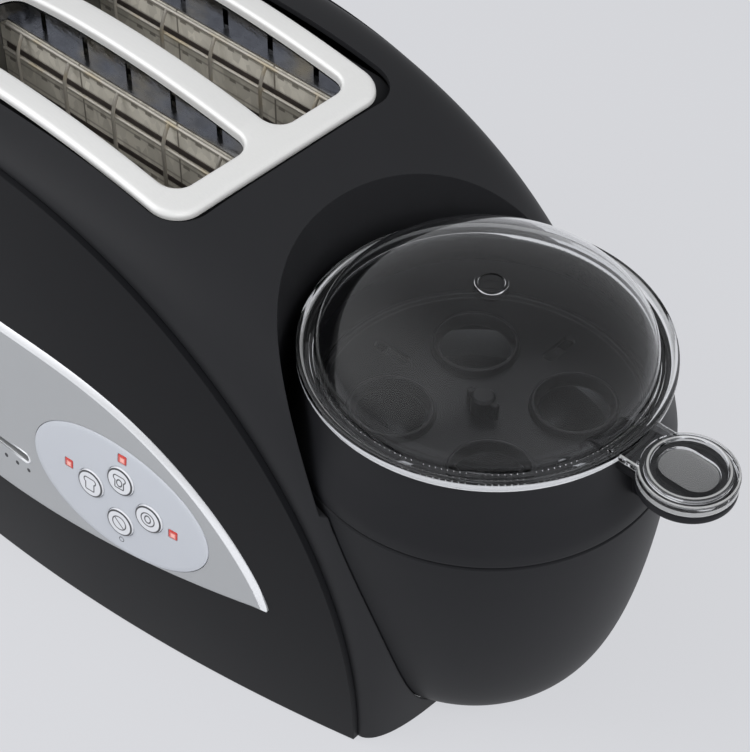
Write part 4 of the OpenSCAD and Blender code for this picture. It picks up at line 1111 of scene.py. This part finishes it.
class COOKER_OT_controls(Builder, bpy.types.Operator):
    """Builds the silver panel, the pad, its buttons and lamps, and the browning control"""
    bl_idname = "egg_cooker.controls"
    bl_label = "Controls"

    def execute(self, context):
        s = context.scene.cooker_controls
        pad_at, slider_at = (PAD_X, PAD_Z), (SLIDER_X, SLIDER_Z)
        trim = carve(solid("silver_trim", trim_mesh(), merge=0.02),
            solid("pad_hole", hole_at(ellipse(PAD_A + 0.2, PAD_B + 0.2, PAD_TURN, pad_at))),
            solid("slot", hole_at(rectangle(SLIDER_L, SLIDER_H, 1.74, slider_at, 10), -125)))
        silver = silver_paint("trim_lacquer", s.trim)
        # The paler polished copy of the silver is a painted highlight for the trim's upper bevel and the
        # slot's lip
        painted_highlight_silver = silver_paint("trim_bevel_painted_highlight", (0.82, 0.83, 0.85), polished=True)
        finished(trim, "base", silver, painted_highlight_silver, nodes=("control_trim",), slot="trim_silver", choose=on_bevel)
        # The slider slot's lip takes the same paler silver, a painted highlight
        lip = pressed(rectangle(SLIDER_L + 1.8, SLIDER_H + 1.8, 2.64, slider_at, 10),
            [(0, -0.4), (0, 0.15), (0.25, 0.4), (0.6, 0.3), (0.95, 0), (0.95, -0.4)], on_side(PANEL_PROUD),
            ring=True)
        finished(solid("slot_lip", lip), "base", painted_highlight_silver, slot="trim_silver")
        rim = [(0, -WALL), (0, -0.5), (0.15, -0.15), (0.5, 0)]
        pad = solid("control_pad", pressed(ellipse(PAD_A, PAD_B, PAD_TURN, pad_at), rim,
            on_side(PAD_PROUD), centre=pad_at, rings=16))
        carve(pad, solid("holes", *(hole_at(circle(BUTTON_R + 0.2, 96, at)) for at in BUTTONS.values()),
            *(hole_at(rectangle(4.4, 4.4, 0.5, at, 4)) for at in LAMPS)))
        finished(pad, "base", pad_lacquer("pad_lacquer", s.pad), nodes=("button_pad",), slot="pad_grey")
        for name, at in BUTTONS.items():
            kind = name.removesuffix("_button")
            face = pressed(circle(BUTTON_R, 96, at),
                [(0, -WALL), (0, -0.55), (0.12, -0.25), (0.4, -0.06), (0.8, 0)], on_side(BUTTON_PROUD),
                centre=at, rings=8)
            y = side_y(*at) + BUTTON_PROUD
            stem = prism(circle(2, 32, at), -(y - 1), -BUTTON_STEM_END, along_y)
            foot = prism(circle(5, 48, at), -(y - WALL + 0.9), -(y - WALL - 0.9), along_y)
            finished(solid(kind + "_cap", face, stem, foot), name,
                button_lacquer(name + "_lacquer", s.button, kind, *at), nodes=(name,), slot="button_grey")
        lens = [pressed(rectangle(4, 4, 0.5, at, 5), rim, on_side(PAD_PROUD + 0.2), centre=at, rings=5)
            for at in LAMPS]
        finished(solid("lamp_lenses", *lens), "base", lamp_lens("lamp_red", s.lamp),
            nodes=("indicator_lamps",), slot="lamp_red")
        self.browning(*slider_at)
        return {"FINISHED"}

    def browning(self, x, z):
        y = side_y(x, z - 6) + PANEL_PROUD + 0.3

        def forwards(x, z, h):
            return x, -(y + h), z

        grip = pressed(rectangle(9, 12, 3, (x, z), 8), edge(3, 0.9), forwards)
        stem = prism(rectangle(5, SLIDER_H - 0.6, 0.4, (x, z), 4), -(y + 0.8), -KNOB_STEM_END, along_y)
        ridges = [prism(rectangle(0.7, 8, 0.3, (x + 1.8 * i, z), 4), -(y + 2.55), -(y + 3.6), along_y)
            for i in range(-1, 2)]
        finished(carve(solid("browning_grip", grip, stem), solid("ridges", *ridges)), "browning_knob",
            bpy.data.materials["knob_plastic"], nodes=("browning_knob",), slot="knob_black")
        dress(bpy.data.materials["base_plastic"], "browning_slider")


class COOKER_OT_cooker(Builder, bpy.types.Operator):
    """Builds the housing, the bowl, the egg tray and the clear lid"""
    bl_idname = "egg_cooker.cooker"
    bl_label = "Egg Cooker"

    def execute(self, context):
        s = context.scene.cooker_bowl
        outside = moulded("bowl_plastic", s.bowl, Specular_IOR_Level=0.12)
        # The housing is moulded in the cover's plastic but takes the bowl's darker finish, a painted shade
        # for its sides
        housing = [(SEAM_R - 0.6, 112.3), (SEAM_R - 0.1, 111.9)] + belly()[2:] + [(0, 3.4), (0, 6)]
        finished(solid("bellied_housing", turned(housing + belly(wall=WALL)[::-1])), "base", outside,
            nodes=("cooker_housing",), slot="cover_black")
        # The bowl's inside is glossier plastic; its darker colour is also a painted shade for the inside of
        # the covered bowl
        self.bowl(outside, moulded("bowl_gloss_painted_shade", (0.003, 0.0031, 0.0035), 0.2, 0.004, 0.4,
            Specular_IOR_Level=0.25))
        # The tray is black plastic, made darker still as a painted shade for the inside of the covered bowl
        self.tray(moulded("tray_plastic_painted_shade", (0.005, 0.0052, 0.006), 0.3, 0.0015, Specular_IOR_Level=0.3))
        # The lid's near-white edge finish is a painted highlight along the rim and the tab's ring
        self.lid(clear_plastic("lid_plastic", s.clear), frosted_edge("lid_edge_painted_highlight", (0.93, 0.935, 0.94)),
            frosted_edge("lid_grip", (0.40, 0.405, 0.41)))
        dress(brushed("dish_steel", (0.62, 0.63, 0.64), 0.22, (1, 1, 1)), "heating_dish")
        dress(cast_metal("cast_alloy", (0.48, 0.48, 0.49)), "dish_heater")
        dress(rubber("bakelite", (0.03, 0.02, 0.016)), "cooker_thermostat")
        return {"FINISHED"}

    def bowl(self, outside, polished):
        side = smooth_path([(70.4, 114), (70.2, 119), (68.7, 126), (67.1, 133.5), (65.9, 142),
            (65.5, 146.3)], 5)
        profile = [(56.4, 113), (64.6, 113), (64.6, 108.4), (65, 108), (66.9, 108), (67.3, 108.4),
            (67.3, 113.3), (69.9, 113.3), (70.3, 113.5)] + side + [(65.3, 147), (64.7, 147.5),
            (63.5, 147.5), (63.1, 147.2), (63, 143.5), (64, 133.5), (66.2, 118), (65.6, 116.6),
            (64.4, 116), (56.4, 116), (56, 115.6), (56, 113.4)]
        tab = pressed(tab_outline(TAB_R, 20), edge(146, 0.9, 142.9), upright)
        rib = prism(rectangle(12, 4, 0.8, (COOKER_X + RIM_R + 4, 0), 4), 127, 143.5)
        room = turned([(0, 124), (65.5, 124), (64.2, 133.5), (63.2, 143.5), (63.3, 149), (0, 149)])
        handle = carve(carve(solid("tab", tab), solid("rib", rib), way="UNION"), solid("room", room))
        piece = carve(solid("bowl", turned(profile)), handle, way="UNION")

        def inside(p, n):
            r = math.hypot(p.x - COOKER_X, p.y)
            return int(r < 64.8 and p.z > 115.5 and (n.x * (p.x - COOKER_X) + n.y * p.y < 0.2 or n.z > 0.9))

        finished(piece, "bowl", outside, polished, nodes=("cooking_bowl",), slot="bowl_black",
            choose=inside)

    def tray(self, finish):
        disc = solid("egg_rack", turned(raised(TRAY_Z, (0, 0), (61.4, 0), (61.8, 0.4), (61.8, 3.6),
            (61.4, 4), (60.2, 4), (59.8, 3.6), (59.5, 2.3), (59.2, 2), (0, 2))))
        cup = raised(TRAY_Z, (0, 1), (WELL_R + 2.6, 1), (WELL_R + 2.6, 2), (WELL_R + 1.9, 4.6),
            (WELL_R + 1.4, 5), (0, 5))
        well = raised(TRAY_Z, (0, -3), (WELL_R - 0.6, -3), (WELL_R - 0.6, 2.6), (WELL_R + 0.9, 5.2),
            (WELL_R + 0.9, 9), (0, 9))
        places = [polar(WELL_OFF, math.radians(45 + 90 * i), AXIS) for i in range(4)]
        vent = rectangle(16, 5, 2.4, (44, 0), 8)
        vents = [prism(rotated(vent, math.radians(90 * i), AXIS), TRAY_Z - 3, TRAY_Z + 9) for i in range(4)]
        grip = turned(raised(TRAY_Z, (0, 1), (4.5, 1), (4.5, 9), (3.6, 10), (0, 10)), 64)
        bar = pressed(rectangle(14, 3, 1.2, AXIS, 6), edge(TRAY_Z + 9, 1, TRAY_Z + 1), upright)
        carve(disc, *(solid("cup", turned(cup, 96, at)) for at in places), solid("grip", grip),
            solid("bar", bar), way="UNION")
        carve(disc, solid("wells", *(turned(well, 96, at) for at in places)), solid("vents", *vents))
        finished(disc, "tray", finish, nodes=("egg_tray",), slot="rack_black")

    def lid(self, finish, edges, grip):
        def dome(r, h, steps=28):
            return [(r * max(0, math.cos(t)) ** (2 / 2.4), LID_Z + 2.2 + h * math.sin(t))
                for t in quarter_turn(steps)]

        def round_tab(name, *profile):
            return solid(name, turned(raised(LID_Z, *profile), 96, TAB_AT))

        inner = dome(DOME_R - 1.2, DOME_H - 2)
        rim = raised(LID_Z, (62.5, -0.6), (62.5, 0), (66.2, 0), (66.8, 0.25), (67, 0.8), (67, 3.4),
            (66.8, 3.95), (66.2, 4.2), (65.5, 4.1), (65, 3.6), (64.5, 2.6), (63.8, 2.2), (61.6, 2.2))
        foot = raised(LID_Z, (60.2, 0), (60.8, -0.5), (61.1, -0.8), (62.3, -0.8))
        tab = solid("lid_tab", pressed(tab_outline(TAB_R, TAB_NECK), edge(LID_Z + 3.2, 0.9, LID_Z + 0.2),
            upright))
        skirt = round_tab("skirt", (16.2, 1), (16.2, -1), (16.5, -1.3), (16.9, -1.3), (TAB_R, -1),
            (TAB_R, 1))
        carve(skirt, box_tool("neck", (TAB_AT[0] - 30, -7, LID_Z - 5), (TAB_AT[0] - 8, 7, LID_Z + 0.2)))
        ridge = round_tab("ridge", (12.7, 3), (12.9, 3.9), (13.3, 4.2), (14.1, 4.2), (14.5, 3.9), (14.8, 3))
        piece = solid("clear_dome", turned(rim + dome(DOME_R, DOME_H) + inner[::-1] + foot, 200))
        carve(piece, tab, skirt, ridge, way="UNION")
        dip = pressed(rectangle(21.5, 16, 7.4, TAB_AT, 12),
            raised(LID_Z, (1.4, 2), (0.5, 2.4), (0, 3), (0, 6)), upright)
        room = turned(raised(LID_Z, (0, -5), (60.8, -5), (60.2, 0)) + inner)
        carve(piece, round_tab("groove", (15, 2.6), (16.2, 2.6), (16.3, 3.6), (14.9, 3.6)),
            solid("dip", dip), solid("room", room))
        seal = turned(raised(LID_Z, (4.5, 30.6), (6, 30.6), (6, 31.4), (5.7, 31.8), (4.8, 31.8),
            (4.5, 31.4)), 64)
        carve(piece, solid("seal", seal), way="UNION")

        def frosted(p, n):
            """Which finish a face gets: 1 for the rim's and the tab's edges, which carry the painted
            highlight, 2 for the grip's dip.
            """
            r, out, up = math.hypot(p.x - COOKER_X, p.y), math.hypot(p.x - TAB_AT[0], p.y), p.z - LID_Z
            if p.x - COOKER_X > 67:
                if out < 12 and n.z > 0.9 and abs(up - 2) < 0.2:
                    return 2
                return int((13.2 < out < 14.2 and up > 4) or (out > 16.2 and (up > 2.9 or abs(up) < 1)))
            return int(p.x - COOKER_X < 61 and ((r > 66.7 and up < 0.85) or (64.6 < r < 65.3 and up > 2.9)))

        finished(piece, "lid", finish, edges, grip, nodes=("clear_lid",), slot="clear_lid", sharp=40,
            choose=frosted)


class COOKER_OT_drawer(Builder, bpy.types.Operator):
    """Builds the crumb drawer and its rear front"""
    bl_idname = "egg_cooker.drawer"
    bl_label = "Crumb Drawer"

    def execute(self, context):
        back = side_y(-144.4, 14, BAND_REAR) - WALL - 1
        end = side_y(SLOT_X, 7, BAND_REAR) - WALL / 2
        depth, middle = back - PAN_FRONT, (-71, (back + PAN_FRONT) / 2)
        pan = pressed(rectangle(146.8, depth, 2, middle, 5),
            [(0, 14), (0, 7.4), (0.4, 7), (1.2, 7.8), (0.8, 8.2), (0.8, 14)], upright, ring=True)
        floor = prism(rectangle(146, depth - 0.8, 1.6, middle, 5), 7, 7.8)
        bar = prism(rectangle(60, end - back + 0.5, 0.5, (SLOT_X, (end + back - 0.5) / 2), 3), 8, 11)
        rows, cols = 60, 8
        wide, tall = DRAWER_RIGHT - DRAWER_LEFT, DRAWER_TOP - DRAWER_LOW
        grid = [(DRAWER_LEFT + wide * i / rows, DRAWER_LOW + tall * k / cols) for i in range(rows + 1)
            for k in range(cols + 1)]
        outer, inner = ([(x, side_y(x, z, BAND_REAR) - depth, z) for x, z in grid] for depth in (0, WALL))
        finished(solid("drawer", pan, floor, bar), "crumb_tray",
            brushed("drawer_sheet", (0.58, 0.59, 0.60), 0.26, (1, 0.02, 1)), nodes=("crumb_tray",),
            slot="tray_steel")
        # The drawer's front takes the panels' darker finish, which is a painted shade
        finished(solid("drawer_front", shell(outer, inner, rows + 1, cols + 1)), "crumb_tray",
            bpy.data.materials["panel_painted_shade_plastic"], slot="cover_black")
        return {"FINISHED"}


class COOKER_OT_stage(Builder, bpy.types.Operator):
    """Sets up the floor, the lamps, the sky and the camera"""
    bl_idname = "egg_cooker.stage"
    bl_label = "Stage"

    def execute(self, context):
        s = context.scene.cooker_stage
        floor = solid("floor", ([(-4000, -4000, 0), (4000, -4000, 0), (4000, 4000, 0), (-4000, 4000, 0)],
            [(0, 1, 2, 3)]))
        floor.data.materials.append(floor_finish("floor_paint", s.floor))
        self.sky(context.scene, s)
        self.lamp("key_lamp", (1, -0.25, 0.95), (0, 0, 0.12), s.key)
        self.lamp("fill_lamp", (-0.65, -0.7, 0.9), (-0.03, 0, 0.12), s.fill)
        self.camera(context.scene)
        context.scene.view_settings.view_transform = "Standard"
        return {"FINISHED"}

    def sky(self, scene, s):
        """Light that is brighter from two sides, and a plain backdrop to what looks straight at it."""
        scene.world = bpy.data.worlds.new("sky")
        scene.world.use_nodes = True
        tree = scene.world.node_tree
        way = add_node(tree, "ShaderNodeSeparateXYZ",
            sockets={0: add_node(tree, "ShaderNodeTexCoord").outputs[0]})
        x, y, z = (Value(tree, part) for part in way.outputs)
        glow = (x * -0.55 + y * -0.45 + z * 0.70).step(0.62, 1)
        right = (x * 0.95 + y * 0.2 + z * 0.2).step(0.2, 1)
        light = tree.nodes["Background"]
        link(tree, light.inputs["Color"], (0.97, 0.98, 1))
        link(tree, light.inputs["Strength"], s.sky
            * (0.75 - 0.35 * z.step(0, 0.9) + 2.2 * glow + 0.7 * right))
        plain = add_node(tree, "ShaderNodeBackground", sockets={"Color": s.floor, "Strength": 1})
        seen_plain(tree, "World Output", light, plain, 1, "Transmission")

    def lamp(self, name, place, target, power):
        data = bpy.data.lights.new(name, "AREA")
        data.shape, data.size, data.energy = "DISK", 0.9, power
        lamp = added(name, data)
        lamp.location = place
        lamp.rotation_euler = (Vector(target) - Vector(place)).to_track_quat("-Z", "Y").to_euler()
        lamp.visible_glossy = lamp.visible_transmission = False

    def camera(self, scene):
        """A long lens that looks down on the cooker; right, up and back are the camera's axes."""
        lens = bpy.data.cameras.new("camera")
        lens.lens, lens.sensor_width, lens.clip_start = 87.74, 36, 0.05
        right, up = (0.73342411, 0.67970824, 0.00926215), (-0.48344723, 0.51197754, 0.71004069)
        back = (0.47787849, -0.52523872, 0.70409973)
        scene.camera = added("camera", lens)
        scene.camera.matrix_world = (Matrix.Translation((0.38783, -0.36889, 0.59346))
            @ Matrix((right, up, back)).transposed().to_4x4())


class COOKER_PT_panel(bpy.types.Panel):
    """Lists the pieces of the egg cooker"""
    bl_label = "Egg Cooker"
    bl_space_type = "VIEW_3D"
    bl_region_type = "UI"
    bl_category = "Egg Cooker"

    def draw(self, context):
        for operator, settings in STEPS:
            box = self.layout.box()
            box.operator(operator.bl_idname)
            if settings:
                group = getattr(context.scene, settings)
                for key in group.__annotations__:
                    box.prop(group, key)


GROUPS = {"cooker_covers": CoverSettings, "cooker_slots": SlotSettings, "cooker_controls": ControlSettings,
    "cooker_bowl": CookerSettings, "cooker_stage": StageSettings}
STEPS = ((COOKER_OT_covers, "cooker_covers"), (COOKER_OT_slots, "cooker_slots"), (COOKER_OT_lever, None),
    (COOKER_OT_controls, "cooker_controls"), (COOKER_OT_drawer, None), (COOKER_OT_cooker, "cooker_bowl"),
    (COOKER_OT_stage, "cooker_stage"))
CLASSES = (*GROUPS.values(), *(step[0] for step in STEPS), COOKER_PT_panel)


def register():
    for cls in CLASSES:
        bpy.utils.register_class(cls)
    for name, cls in GROUPS.items():
        setattr(bpy.types.Scene, name, PointerProperty(type=cls))


def unregister():
    for name in GROUPS:
        delattr(bpy.types.Scene, name)
    for cls in reversed(CLASSES):
        bpy.utils.unregister_class(cls)


def main():
    register()
    for operator, _ in STEPS:
        group, name = operator.bl_idname.split(".")
        getattr(getattr(bpy.ops, group), name)()


if __name__ == "__main__":
    main()
